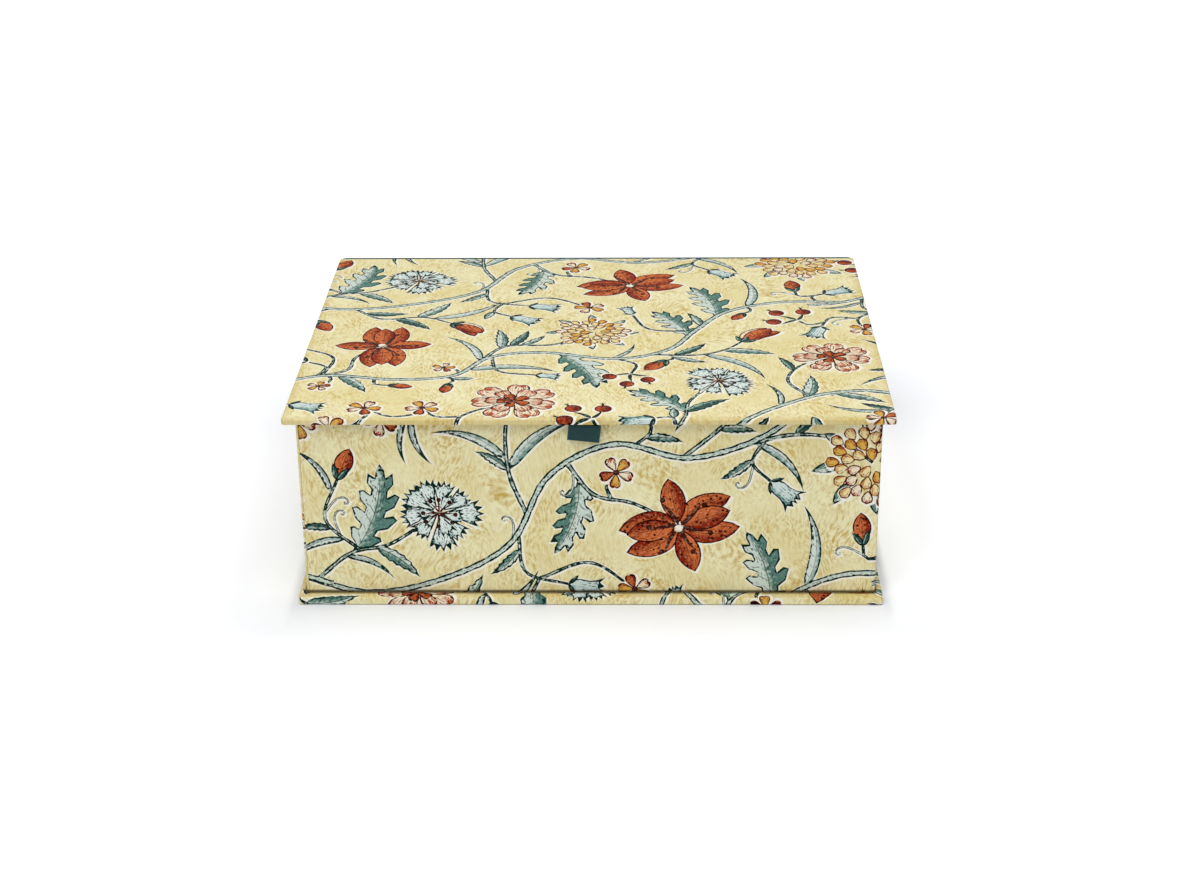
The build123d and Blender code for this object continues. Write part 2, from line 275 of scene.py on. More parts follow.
def draw(name):
    """Flat mesh of one drawing: points, triangles, outline, ribs, and the values at its points.

    The values are how far along, how far across and how far in from the outline a point
    is, as shares of the drawing's length. A ring of points just inside the outline lets
    the pen follow it.
    """
    upper, lower, bend, tip = DRAWINGS[name]
    lower = upper if lower is None else lower
    rim = [(0.0, 0.0)] if upper[0][0] > 0 else []
    rim += [(x, -y) for x, y in lower]
    rim += [(tip, 0.0)]
    rim += [(x, y) for x, y in reversed(upper)]
    rim = np.array(rim)
    ribs = np.array([(x, 0.0) for x in np.linspace(0.08, 0.9 * tip, 6)])
    deepest = max(to_outline(p, rim) for p in ribs)
    step = min(0.05, 0.4 * deepest)
    before = rim - np.roll(rim, 1, axis=0)
    after = np.roll(rim, -1, axis=0) - rim
    ahead = before / np.linalg.norm(before, axis=1)[:, None] + after / np.linalg.norm(after, axis=1)[:, None]
    length = np.maximum(np.linalg.norm(ahead, axis=1), 1e-9)
    inward = np.stack([-ahead[:, 1], ahead[:, 0]], 1) / length[:, None]
    ring = [p for p in rim + inward * step if to_outline(p, rim) > 0.7 * step and abs(p[1]) > 0.3 * step]
    points = np.vstack([rim, ribs] + ([ring] if ring else []))
    count = len(rim)
    rib_edges = [(count + i, count + i + 1) for i in range(len(ribs) - 1)]
    verts, _, faces, source, _, _ = delaunay_2d_cdt(
        [Vector(p) for p in bent(points, bend)], rib_edges, [list(range(count))], 1, 1e-6, True)
    across = np.where(points[:, 1] > 1e-9, 1.0, np.where(points[:, 1] < -1e-9, -1.0, 0.0))
    inset = np.array([0.0] * count + [to_outline(p, rim) for p in points[count:]])
    middle = count + len(ribs)
    across[middle:] *= 1 - inset[middle:] / (inset[middle:] + np.abs(points[middle:, 1]))
    order = [s[0] if s else 0 for s in source]
    index = {k: i for i, s in enumerate(source) for k in s}
    return {
        "points": np.array([(v.x, v.y) for v in verts]),
        "triangles": np.array(faces),
        "outline": [index[i] for i in range(count)],  # anticlockwise
        "ribs": [(index[a], index[b]) for a, b in rib_edges],
        "values": np.stack([points[order, 0], across[order], inset[order]], 1),
    }


drawn = {name: draw(name) for name in DRAWING_NAMES}

# One repeat of the print. Columns of the repeat step up by half its height.
REPEAT_X = 250.0
REPEAT_Y = 200.0
RESIST = 0.52  # white left round a motif
RESIST_SHIFT = (0.45, -0.35)  # the colours were laid a little off the white
RESIST_WAVER = 0.22  # how uneven the white's edge is

# A drawing of a higher layer covers a lower one: leaves 8, tendrils 9, stems 12, blooms 38 and up
placed = []  # drawing, x, y, turn, length, fatness, ink, layer
stems = []  # points, width at the start, width at the end, layer, ink
marks = []  # x, y and radius of what is drawn, so that later pieces keep clear
chance = random.Random(7)


def beyond(x, y, out, turn):
    """Point at a distance from another, in the direction turn."""
    return x + out * math.cos(turn), y + out * math.sin(turn)


def lay(drawing, x, y, turn, length, ink, layer, fat=1.0, resist=True):
    """Place a drawing in the repeat, with its white resist under it."""
    if resist:
        grown = length + 2.2 * RESIST
        wider = (length * fat * 0.2 + RESIST) / (0.2 * grown)
        back_x, back_y = beyond(x, y, -RESIST * 1.1, turn)
        placed.append((drawing, back_x + RESIST_SHIFT[0], back_y + RESIST_SHIFT[1], turn, grown, wider,
                       "resist", layer - 0.9 if layer > 30 else layer - 18))
    placed.append((drawing, x, y, turn, length, fat, ink, layer))


def ring(x, y, count, inner, length, drawing, ink, layer, start=0.0, fat=1.0, uneven=0.08, resist=True):
    """Petals round a centre."""
    for i in range(count):
        turn = start + 2 * math.pi * i / count + chance.uniform(-uneven, uneven)
        long = length * (1 + chance.uniform(-uneven, uneven))
        lay(drawing, *beyond(x, y, inner, turn), turn, long, ink, layer + i * 0.01, fat, resist)


def stamens(x, y, size, turn, count, reach_share, head):
    """Dark filaments from a centre, each with its head."""
    for i in range(count):
        around = turn + i * 2 * math.pi / count + chance.uniform(-0.2, 0.2)
        long = size * reach_share * chance.uniform(0.8, 1.15)
        lay("stroke", x, y, around, long, "line", 43, 1.5, resist=False)
        tip_x, tip_y = beyond(x, y, 0.92 * long, around + 0.14)
        lay("disc", tip_x, tip_y, around, size * head, "heart", 44, resist=False)


def calyx(x, y, turn, spread, back, length, fat):
    """Teal leaflets round the foot of a bloom seen from the side."""
    for side in spread:
        lay("leaflet", *beyond(x, y, -back, turn), turn + side, length, "deep leaf", 41, fat, resist=False)


def camellia(x, y, size, turn):
    """Double flower of three rings."""
    ring(x, y, 7, size * 0.10, size * 0.42, "round petal", "flamed petal", 40, turn, 1.1)
    ring(x, y, 6, size * 0.05, size * 0.32, "round petal", "flamed petal", 41, turn + 0.4, 1.1, resist=False)
    ring(x, y, 5, size * 0.01, size * 0.20, "round petal", "brick cup", 42, turn, 1.15, resist=False)
    stamens(x, y, size, turn + 0.5, 6, 0.10, 0.045)


def aster(x, y, size, turn):
    """Ragged blue flower with a white eye."""
    ring(x, y, 9, size * 0.08, size * 0.42, "toothed petal", "blue petal", 40, turn, 1.15, 0.16)
    ring(x, y, 6, size * 0.03, size * 0.28, "toothed petal", "blue petal", 41, turn + 0.3, 1.2, 0.2, False)
    lay("disc", x - size * 0.06, y, turn, size * 0.12, "white eye", 42, resist=False)
    stamens(x, y, size, turn, 8, 0.20, 0.06)


def star_flower(x, y, size, turn):
    """Eight pointed petals in two rows."""
    for i in range(8):
        kind = ("petal turned left", "pointed petal", "petal turned right", "pointed petal")[i % 4]
        around = turn + i * math.pi / 4 + chance.uniform(-0.1, 0.1)
        lay(kind, *beyond(x, y, size * 0.03, around), around, size * (0.46 if i % 2 else 0.52),
            "brick petal", 40 + (i % 2) * 0.5 + i * 0.01, 1.25)
    stamens(x, y, size, turn + 0.3, 6, 0.30, 0.05)
    lay("disc", x - size * 0.045, y, turn, size * 0.09, "white eye", 46, resist=False)


def cluster(x, y, size, turn):
    """Round bloom of many small scales set in a spiral."""
    ring(x, y, 8, size * 0.3, size * 0.30, "leaflet", "leaf", 38, turn)
    for i in range(40, 0, -1):
        around = turn + i * 2.39996  # the golden angle
        out = size * 0.41 * math.sqrt(i / 40)
        ink = ("cream scale", "ochre petal", "cream scale", "flamed petal")[i % 4]
        lay("scale", *beyond(x, y, out - size * 0.05, around), around, size * 0.15, ink, 41 - i * 0.01, 1.1,
            resist=i > 28)


def tulip(x, y, size, turn):
    """Cup of petals seen from the side, on its teal calyx."""
    lay("petal turned left", x, y, turn - 0.5, size * 0.92, "flamed petal", 40, 1.15)
    lay("petal turned right", x, y, turn + 0.5, size * 0.92, "flamed petal", 40.1, 1.15)
    lay("petal turned right", x, y, turn + 0.1, size, "brick cup", 40.2, 1.1)
    lay("pointed petal", x, y, turn - 0.1, size * 0.95, "brick petal", 40.3, 1.2)
    calyx(x, y, turn, (-0.8, 0.0, 0.8), 0.08 * size, size * 0.36, 1.0)


def bud(x, y, size, turn):
    """Closed bud between two leaflets."""
    lay("pointed petal", x, y, turn, size, "brick petal", 40, 1.35)
    calyx(x, y, turn, (-0.45, 0.45), 0.08 * size, size * 0.55, 0.9)


def bell(x, y, size, turn):
    """Blue bell between two leaflets."""
    lay("bell", x, y, turn, size, "blue cup", 40, 0.95)
    calyx(x, y, turn, (-0.9, 0.9), 0.0, size * 0.42, 0.8)


def blossom(x, y, size, turn):
    """Small five-petalled blossom in three colours."""
    for i in range(5):
        around = turn + i * 2 * math.pi / 5 + chance.uniform(-0.1, 0.1)
        ink = ("ochre petal", "flamed petal", "brick cup")[i % 3]
        lay("round petal", *beyond(x, y, size * 0.04, around), around, size * 0.46, ink, 40 + i * 0.01, 1.1)
    lay("disc", x - size * 0.09, y, 0.0, size * 0.18, "heart", 42, resist=False)


def berries(x, y, size, turn):
    """Three berries on short stalks, each with its crown."""
    for i, (ahead, aside) in enumerate(((0.2, -0.5), (0.6, 0.1), (0.1, 0.55))):
        bx = x + size * (ahead * math.cos(turn) - aside * math.sin(turn))
        by = y + size * (ahead * math.sin(turn) + aside * math.cos(turn))
        out = turn + aside * 0.9
        lay("stroke", x, y, math.atan2(by - y, bx - x) - 0.15, math.hypot(bx - x, by - y) + size * 0.06,
            "deep leaf", 39.5, 2.4)
        lay("disc", bx, by, out, size * 0.5, "berry", 40 + i * 0.1)
        lay("crown", *beyond(bx, by, size * 0.45, out), out, size * 0.26, "heart", 41, resist=False)


# kind: how it is drawn, then where its middle is and its radius, as shares of its size
FLOWERS = {
    "camellia": (camellia, 0.0, 0.52), "aster": (aster, 0.0, 0.52), "star": (star_flower, 0.0, 0.52),
    "cluster": (cluster, 0.0, 0.52), "tulip": (tulip, 0.45, 0.48), "bud": (bud, 0.5, 0.42),
    "bell": (bell, 0.5, 0.5), "blossom": (blossom, 0.0, 0.5), "berries": (berries, 0.4, 0.75),
}
# kind: left, right, ink, then how far its widest part reaches either side
LEAVES = {
    "leaf": ("leaf", "leaf turned right", "leaf", 0.13),
    "deep": ("leaf", "leaf turned right", "deep leaf", 0.13),
    "blade": ("blade", "blade turned right", "pale leaf", 0.08),
    "lobed": ("lobed leaf", "lobed leaf turned right", "leaf", 0.19),
    "sprig": ("leaflet", "leaflet", "leaf", 0.18),
}


def smooth_line(points, spacing=2.2):
    """Evenly spaced points on a smooth line through the points given."""
    points = np.array(points, float)
    ends = np.vstack([2 * points[0] - points[1], points, 2 * points[-1] - points[-2]])
    fine = []
    for a, b, c, d in zip(ends, ends[1:], ends[2:], ends[3:]):
        for t in np.linspace(0, 1, 24, endpoint=False):
            fine.append(0.5 * (2 * b + (c - a) * t + (2 * a - 5 * b + 4 * c - d) * t**2
                               + (3 * b - a - 3 * c + d) * t**3))
    fine = np.array(fine + [points[-1]])
    run = np.concatenate([[0], np.cumsum(np.linalg.norm(np.diff(fine, axis=0), axis=1))])
    at = np.linspace(0, run[-1], max(4, int(run[-1] / spacing)))
    return np.stack([np.interp(at, run, fine[:, 0]), np.interp(at, run, fine[:, 1])], 1)


def nearest_copy(gap):
    """Gap from a point to another's nearest copy in the endless repeat."""
    gap = gap - np.round(gap[..., :1] / REPEAT_X) * np.array([REPEAT_X, REPEAT_Y / 2])
    return gap - np.round(gap[..., 1:] / REPEAT_Y) * np.array([0.0, REPEAT_Y])


def room_at(points):
    """Distance from each point to the nearest mark, in the endless repeat."""
    taken = np.array(marks)
    gap = nearest_copy(np.asarray(points, float)[:, None, :2] - taken[None, :, :2])
    return (np.hypot(gap[..., 0], gap[..., 1]) - taken[None, :, 2]).min(1)


def heading(line, at):
    """Direction of a line at one of its points."""
    ahead = line[at + 1] - line[at - 1]
    return math.atan2(ahead[1], ahead[0])


def grow(points, width, flower=None, thin=0.6):
    """Draw a stem through the points, and the flower (kind, size) at its end.

    A branch starts on the nearest stem and lies under it.
    """
    if flower:
        joints = np.vstack([line for line, *_ in stems])
        far = np.linalg.norm(joints - points[0], axis=1)
        if far.min() < 8.0:
            points = [tuple(joints[far.argmin()]), *points[1:]]
    line = smooth_line(points)
    stems.append((line, width, width * thin, 12 - len(stems) * 0.01, "stem"))
    marks.extend((px, py, width / 2) for px, py in line)
    if flower:
        kind, size = flower
        turn = heading(line, -2)
        flower_maker, middle, radius = FLOWERS[kind]
        flower_maker(*line[-1], size, turn)
        marks.append((*beyond(*line[-1], middle * size, turn), radius * size))


def sprout(kind, length, tries, most, first=0):
    """Leaves of one kind along the stems, wherever there is room for one."""
    grown = 0
    left, right, ink, spread = LEAVES[kind]
    for _ in range(tries):
        line = chance.choice(stems[first:])[0]
        at = chance.randrange(1, max(2, len(line) - 3))
        side = chance.choice((-1, 1))
        long = length * chance.uniform(0.85, 1.15)
        turn = heading(line, at) + side * (0.55 if kind != "sprig" else 0.75)
        name = left if side > 0 else right
        bend = DRAWINGS[name][2] if kind != "sprig" else 0.0
        spine = bent([(0.42, 0), (0.6, 0), (0.8, 0), (1.0, 0)], bend) * long
        cos, sin = math.cos(turn), math.sin(turn)
        spine = line[at] + spine @ np.array([[cos, sin], [-sin, cos]])
        wide = long * spread * np.array([1.0, 0.95, 0.7, 0.2])
        if (room_at(spine) - wide).min() < 1.0:
            continue
        lay(name, line[at][0], line[at][1], turn, long, ink, 8 + grown * 0.01)
        marks.extend((px, py, w) for (px, py), w in zip(spine, wide))
        grown += 1
        if grown == most:
            break


def fill_gaps(kinds, least, largest):
    """Small sprays that grow from the nearest stem into each open place, the widest first."""
    spots = np.array([(chance.uniform(0, REPEAT_X), chance.uniform(0, REPEAT_Y)) for _ in range(900)])
    for number in range(40):
        room = room_at(spots)
        best = int(room.argmax())
        if room[best] < least:
            break
        centre = spots[best]
        spots = np.delete(spots, best, axis=0)
        kind = kinds[number % len(kinds)]
        _, middle, radius = FLOWERS[kind]
        size = min(largest, (room[best] - 0.6) / max(radius, 0.4))
        joints = np.array([p for line, *_ in stems for p in line[1:-2]])
        gap = nearest_copy(joints - centre)
        far = np.linalg.norm(gap, axis=1)
        for joint in np.argsort(far)[:60:3]:
            start = centre + gap[joint]
            toward = centre - start
            tip = centre - toward / far[joint] * middle * size
            bow = np.array([-toward[1], toward[0]]) * chance.choice((-0.25, 0.25))
            path = smooth_line([start, (start + tip) / 2 + bow, tip])
            inner = path[len(path) // 3:max(len(path) - 2, len(path) // 3 + 1)]
            if (room_at(inner) - 0.9).min() > 0.2:
                grow([start, (start + tip) / 2 + bow, tip], 1.7, (kind, size), thin=0.7)
                break


def curl(hand, tries):
    """Tendril that leaves a stem and winds up at its tip, where there is room."""
    for _ in range(tries):
        line = chance.choice(stems)[0]
        at = chance.randrange(1, len(line) - 2)
        x, y = line[at]
        turn = heading(line, at) + hand * 0.5
        points = [(x, y)]
        for i in range(24):
            turn += hand * (0.02 + 0.032 * max(0, i - 4))
            x, y = beyond(x, y, 0.95 * (1.25 - i / 24), turn)
            points.append((x, y))
        if (room_at(points[7:]) - 0.6).min() > 0.5:
            stems.append((smooth_line(points, 1.1), 1.1, 0.7, 9.0 + len(stems) * 0.001, "tendril"))
            marks.extend((px, py, 0.6) for px, py in points)
            return


def repeat_layout():
    """The whole repeat: two long vines that cross it, the large blooms, and what fills between."""
    grow([(-14, 8), (0, 12), (30, 4), (60, 10), (88, 26), (104, 56), (130, 70), (160, 64), (190, 74),
          (212, 94), (232, 108), (250, 112), (266, 108)], 2.7, thin=1.0)
    grow([(-16, 108), (0, 112), (30, 128), (60, 124), (84, 128), (98, 148), (120, 153), (150, 146),
          (172, 156), (184, 178), (198, 200), (222, 212), (250, 212)], 2.7, thin=1.0)
    grow([(10, 11), (24, 22), (40, 26), (60, 40)], 2.1, ("aster", 31))
    grow([(110, 62), (122, 48), (138, 44), (156, 34)], 2.1, ("star", 44))
    grow([(180, 70), (200, 74), (218, 72), (232, 62)], 2.1, ("cluster", 40))
    grow([(98, 38), (88, 60), (90, 86), (110, 102)], 2.1, ("camellia", 33))
    grow([(158, 64), (176, 82), (180, 102), (192, 122)], 2.1, ("aster", 29))
    grow([(228, 106), (220, 122), (226, 138), (240, 148)], 1.8, ("camellia", 31))
    grow([(28, 127), (40, 134), (42, 148), (52, 160)], 2.1, ("star", 42))
    grow([(94, 144), (104, 160), (124, 162), (140, 176)], 2.1, ("cluster", 34))
    grow([(164, 152), (184, 150), (196, 156), (204, 166)], 1.8, ("tulip", 20))
    grow([(34, 4), (48, -8), (66, -6), (80, -14)], 1.7, ("tulip", 18))
    sprout("lobed", 38, 500, 6)
    sprout("blade", 36, 400, 8)
    sprout("leaf", 24, 500, 7)
    sprout("deep", 21, 500, 5)
    fill_gaps(("bell", "blossom", "bud", "bell", "berries", "blossom"), 9.5, 14.0)
    for kind, length, most in (("blade", 24, 9), ("leaf", 17, 9), ("deep", 16, 4)):
        sprout(kind, length, 400, most)
    fill_gaps(("bud", "blossom", "bell"), 8.0, 10.0)
    sprout("sprig", 10, 500, 20)
    for i in range(7):
        curl(1 if i % 2 else -1, 60)


repeat_layout()


# Geometry Nodes that lay the drawings and the stems

def new_tree(name, inputs):
    """Geometry Nodes tree with its named inputs. Returns tree, input node, output node."""
    tree = bpy.data.node_groups.new(name, "GeometryNodeTree")
    tree.interface.new_socket("Geometry", in_out="INPUT", socket_type="NodeSocketGeometry")
    tree.interface.new_socket("Geometry", in_out="OUTPUT", socket_type="NodeSocketGeometry")
    for label, kind in inputs:
        tree.interface.new_socket(label, in_out="INPUT", socket_type=kind)
    return tree, add(tree, "NodeGroupInput"), add(tree, "NodeGroupOutput")


def evaluated(obj):
    """New mesh of an object as its modifiers make it."""
    graph = bpy.context.evaluated_depsgraph_get()
    return bpy.data.meshes.new_from_object(
        obj.evaluated_get(graph), preserve_all_data_layers=True, depsgraph=graph)


def run_tree(obj, tree, values):
    """Mesh that the tree makes of the object, with its inputs set. The object is left as it was."""
    modifier = obj.modifiers.new("made", "NODES")
    modifier.node_group = tree
    for item in tree.interface.items_tree:
        if item.in_out == "INPUT" and item.name in values:
            modifier[item.identifier] = values[item.name]
    mesh = evaluated(obj)
    obj.modifiers.remove(modifier)
    return mesh


def finish_tree(tree, geometry, material, group_out):
    """End a tree in Realize Instances and Set Material."""
    real = add(tree, "GeometryNodeRealizeInstances", {"Geometry": geometry})
    dressed = add(tree, "GeometryNodeSetMaterial", {"Geometry": real, "Material": material})
    tree.links.new(dressed.outputs[0], group_out.inputs[0])


def print_tree():
    """Tree that lays a drawing on each point, by its number, turn and size."""
    tree, start, end = new_tree("print laid out", [
        ("Drawings", "NodeSocketCollection"), ("Ink", "NodeSocketMaterial")])
    shelf = add(tree, "GeometryNodeCollectionInfo", {"Collection": start.outputs["Drawings"],
                "Separate Children": True, "Reset Children": True})
    number = add(tree, "GeometryNodeInputNamedAttribute", {"Name": "drawing"}, data_type="INT")
    turn = add(tree, "GeometryNodeInputNamedAttribute", {"Name": "turn"}, data_type="FLOAT_VECTOR")
    size = add(tree, "GeometryNodeInputNamedAttribute", {"Name": "size"}, data_type="FLOAT_VECTOR")
    laid = add(tree, "GeometryNodeInstanceOnPoints", {"Points": start.outputs["Geometry"],
               "Instance": shelf, "Pick Instance": True, "Instance Index": number, "Rotation": turn,
               "Scale": size})
    finish_tree(tree, laid, start.outputs["Ink"], end)
    return tree


def stem_tree():
    """Tree that draws a band along each line, as wide as the line's radius and a margin."""
    tree, start, end = new_tree("stems along their lines", [
        ("Margin", "NodeSocketFloat"), ("Shift", "NodeSocketVector"), ("Ink", "NodeSocketMaterial")])
    level = add(tree, "GeometryNodeSetCurveNormal", {"Curve": start.outputs["Geometry"]}, mode="Z_UP")
    where = add(tree, "GeometryNodeSplineParameter")
    along = add(tree, "GeometryNodeStoreNamedAttribute", {"Geometry": level, "Name": "along",
                "Value": where.outputs["Length"]})
    share = add(tree, "GeometryNodeStoreNamedAttribute", {"Geometry": along, "Name": "share",
                "Value": where.outputs["Factor"]})
    section = add(tree, "GeometryNodeCurvePrimitiveLine", {"Start": (1, 0, 0), "End": (-1, 0, 0)})
    section = add(tree, "GeometryNodeResampleCurve", {"Curve": section, "Count": 3})
    section_place = add(tree, "SeparateXYZ", add(tree, "GeometryNodeInputPosition"))
    section = add(tree, "GeometryNodeStoreNamedAttribute", {"Geometry": section, "Name": "across",
                  "Value": section_place.outputs["X"]})
    wide = add(tree, "Math", add(tree, "GeometryNodeInputRadius"), start.outputs["Margin"], operation="ADD")
    band = add(tree, "GeometryNodeCurveToMesh", {"Curve": share, "Profile Curve": section, "Scale": wide})
    moved = add(tree, "GeometryNodeSetPosition", {"Geometry": band, "Offset": start.outputs["Shift"]})
    finish_tree(tree, moved, start.outputs["Ink"], end)
    return tree


def store(mesh, name, kind, domain, values):
    """Add an attribute to a mesh."""
    field = {"INT": "value", "FLOAT_VECTOR": "vector", "FLOAT_COLOR": "color"}[kind]
    mesh.attributes.new(name, kind, domain).data.foreach_set(field, np.ravel(values))


def attribute(mesh, name):
    """Values of a mesh attribute as an array."""
    data = mesh.attributes[name].data
    values = np.zeros(len(data), dtype=np.float32)
    data.foreach_get("value", values)
    return values


def flat_points(mesh):
    """Points of a mesh seen from above."""
    spots = np.zeros(len(mesh.vertices) * 3, dtype=np.float32)
    mesh.vertices.foreach_get("co", spots)
    return spots.reshape(-1, 3)[:, :2].astype(float)


def put(obj):
    """Link an object to the scene."""
    bpy.context.scene.collection.objects.link(obj)
    return obj


def resist_part(rim, layer):
    """White left in the ground, its edge a little uneven."""
    steps = np.arange(len(rim))
    uneven = np.stack([np.sin(steps * 2.3 + rim[:, 1]), np.cos(steps * 1.7 + rim[:, 0])], 1)
    points = rim + RESIST_WAVER * uneven
    return {"points": points, "outline": list(range(len(rim))), "ribs": [], "layer": layer, "ink": "resist"}


def lines_object(name, lines):
    """Curve object through lines of points, each x, y, z and radius."""
    curve = bpy.data.curves.new(name, "CURVE")
    curve.dimensions = "3D"
    for line in lines:
        spline = curve.splines.new("POLY")
        spline.points.add(len(line) - 1)
        for point, (x, y, z, radius) in zip(spline.points, line):
            point.co = (x, y, z, 1)
            point.radius = radius
    return put(bpy.data.objects.new(name, curve))


def laid_drawings(ink):
    """Every drawing of the repeat as a part of the print."""
    shelf = bpy.data.collections.new("drawings")
    bpy.context.scene.collection.children.link(shelf)
    for number, name in enumerate(DRAWING_NAMES):
        mesh = bpy.data.meshes.new(name)
        shape = drawn[name]
        mesh.from_pydata([(x, y, 0) for x, y in shape["points"]], [], shape["triangles"].tolist())
        shelf.objects.link(bpy.data.objects.new(f"drawing {number:02d}", mesh))
    drawings, xs, ys, turns, lengths, fats, _, _ = zip(*placed)
    points = bpy.data.meshes.new("places")
    points.from_pydata([(x, y, 0) for x, y in zip(xs, ys)], [], [])
    store(points, "drawing", "INT", "POINT", [DRAWING_NAMES.index(name) for name in drawings])
    store(points, "turn", "FLOAT_VECTOR", "POINT", [(0, 0, turn) for turn in turns])
    sizes = [(long, long * fat, 1) for long, fat in zip(lengths, fats)]
    store(points, "size", "FLOAT_VECTOR", "POINT", sizes)
    holder = put(bpy.data.objects.new("places", points))
    spots = flat_points(run_tree(holder, print_tree(), {"Drawings": shelf, "Ink": ink}))
    parts = []
    first = 0
    for drawing, _, _, _, long, fat, ink_name, layer in placed:
        shape = drawn[drawing]
        values = shape["values"]
        part_points = spots[first:first + len(values)]
        first += len(values)
        if ink_name == "resist":
            parts.append(resist_part(part_points[shape["outline"]], layer))
            continue
        inset = values[:, 2] * (long * fat)
        half = max(inset.max(), 0.01)
        parts.append({
            "points": part_points, "triangles": shape["triangles"], "outline": shape["outline"],
            "ribs": shape["ribs"], "layer": layer, "ink": ink_name,
            "place": np.stack([values[:, 0] * long, values[:, 1] * half, inset], 1),
            "share": values[:, :2],
        })
    bpy.data.objects.remove(holder)
    for child in list(shelf.objects):
        bpy.data.objects.remove(child)
    bpy.data.collections.remove(shelf)
    return parts


def laid_stems(ink):
    """Every stem of the repeat as a part of the print, over its resist."""
    lines = []
    for line, wide, narrow, _, _ in stems:
        points = []
        for i, (x, y) in enumerate(line):
            radius = 0.5 * (wide + (narrow - wide) * (i / (len(line) - 1)))
            points.append((x, y, 0, radius * (1 + 0.1 * math.sin(i * 1.9 + len(line)))))
        lines.append(points)
    holder = lines_object("stem lines", lines)
    tree = stem_tree()
    parts = []
    for margin, shift, is_resist in ((RESIST, (*RESIST_SHIFT, 0), True), (0.0, (0, 0, 0), False)):
        mesh = run_tree(holder, tree, {"Margin": margin, "Shift": shift, "Ink": ink})
        spots = flat_points(mesh)
        along, share, across = (attribute(mesh, name) for name in ("along", "share", "across"))
        first = 0
        for line, wide, narrow, layer, stem_ink in stems:
            count = len(line)
            here = slice(first, first + 3 * count)  # a stem has three points at each point of its line
            first += 3 * count
            left = [3 * i for i in range(count)]
            right = [3 * i + 2 for i in range(count)]
            rim = anticlockwise(right + left[::-1], spots[here])
            if is_resist:
                parts.append(resist_part(spots[here][rim], layer - 5))
                continue
            corners = [3 * i + side for i in range(count - 1) for side in (0, 1)]
            triangles = [t for a in corners for t in ((a, a + 1, a + 4), (a, a + 4, a + 3))]
            half = 0.5 * (wide + (narrow - wide) * share[here])
            inset = half * (1 - np.abs(across[here]))
            parts.append({
                "points": spots[here], "triangles": np.array(triangles),
                "outline": rim, "ribs": [(3 * i + 1, 3 * i + 4) for i in range(count - 1)],
                "layer": layer, "ink": stem_ink,
                "place": np.stack([along[here], across[here] * half, inset], 1),
                "share": np.stack([0.5 + 0 * half, across[here]], 1),
            })
    bpy.data.objects.remove(holder)
    return parts


# Folding: from flat paper to the board's surface

def edge_fold(d, thick):
    """Section of a board's covered edge at distance d past where the rounding starts.

    Returns how far out, how far down, and the outward and upward share of the normal.
    """
    end_top = EDGE_ROUND * math.pi / 2
    end_wall = end_top + thick - EDGE_ROUND - FOLD_ROUND
    end_fold = end_wall + FOLD_ROUND * math.pi / 2
    d = np.asarray(d, float)
    turn = np.clip(d / EDGE_ROUND, 0, math.pi / 2)
    under = np.clip((d - end_wall) / FOLD_ROUND, 0, math.pi / 2)
    out = np.where(d < 0, d, EDGE_ROUND * np.sin(turn)) - FOLD_ROUND * (1 - np.cos(under))
    out = out - np.maximum(d - end_fold, 0)
    down = EDGE_ROUND * (1 - np.cos(turn)) + np.clip(d - end_top, 0, end_wall - end_top)
    down = down + FOLD_ROUND * np.sin(under)
    normal_out = np.where(under > 0, np.cos(under), np.sin(turn))
    normal_up = np.where(under > 0, -np.sin(under), np.cos(turn))
    return out, down, normal_out, normal_up


def arc(x, y, radius, turns, count):
    """Points on an arc round a centre, from one turn to the other."""
    return [beyond(x, y, radius, a) for a in np.linspace(*turns, count)]


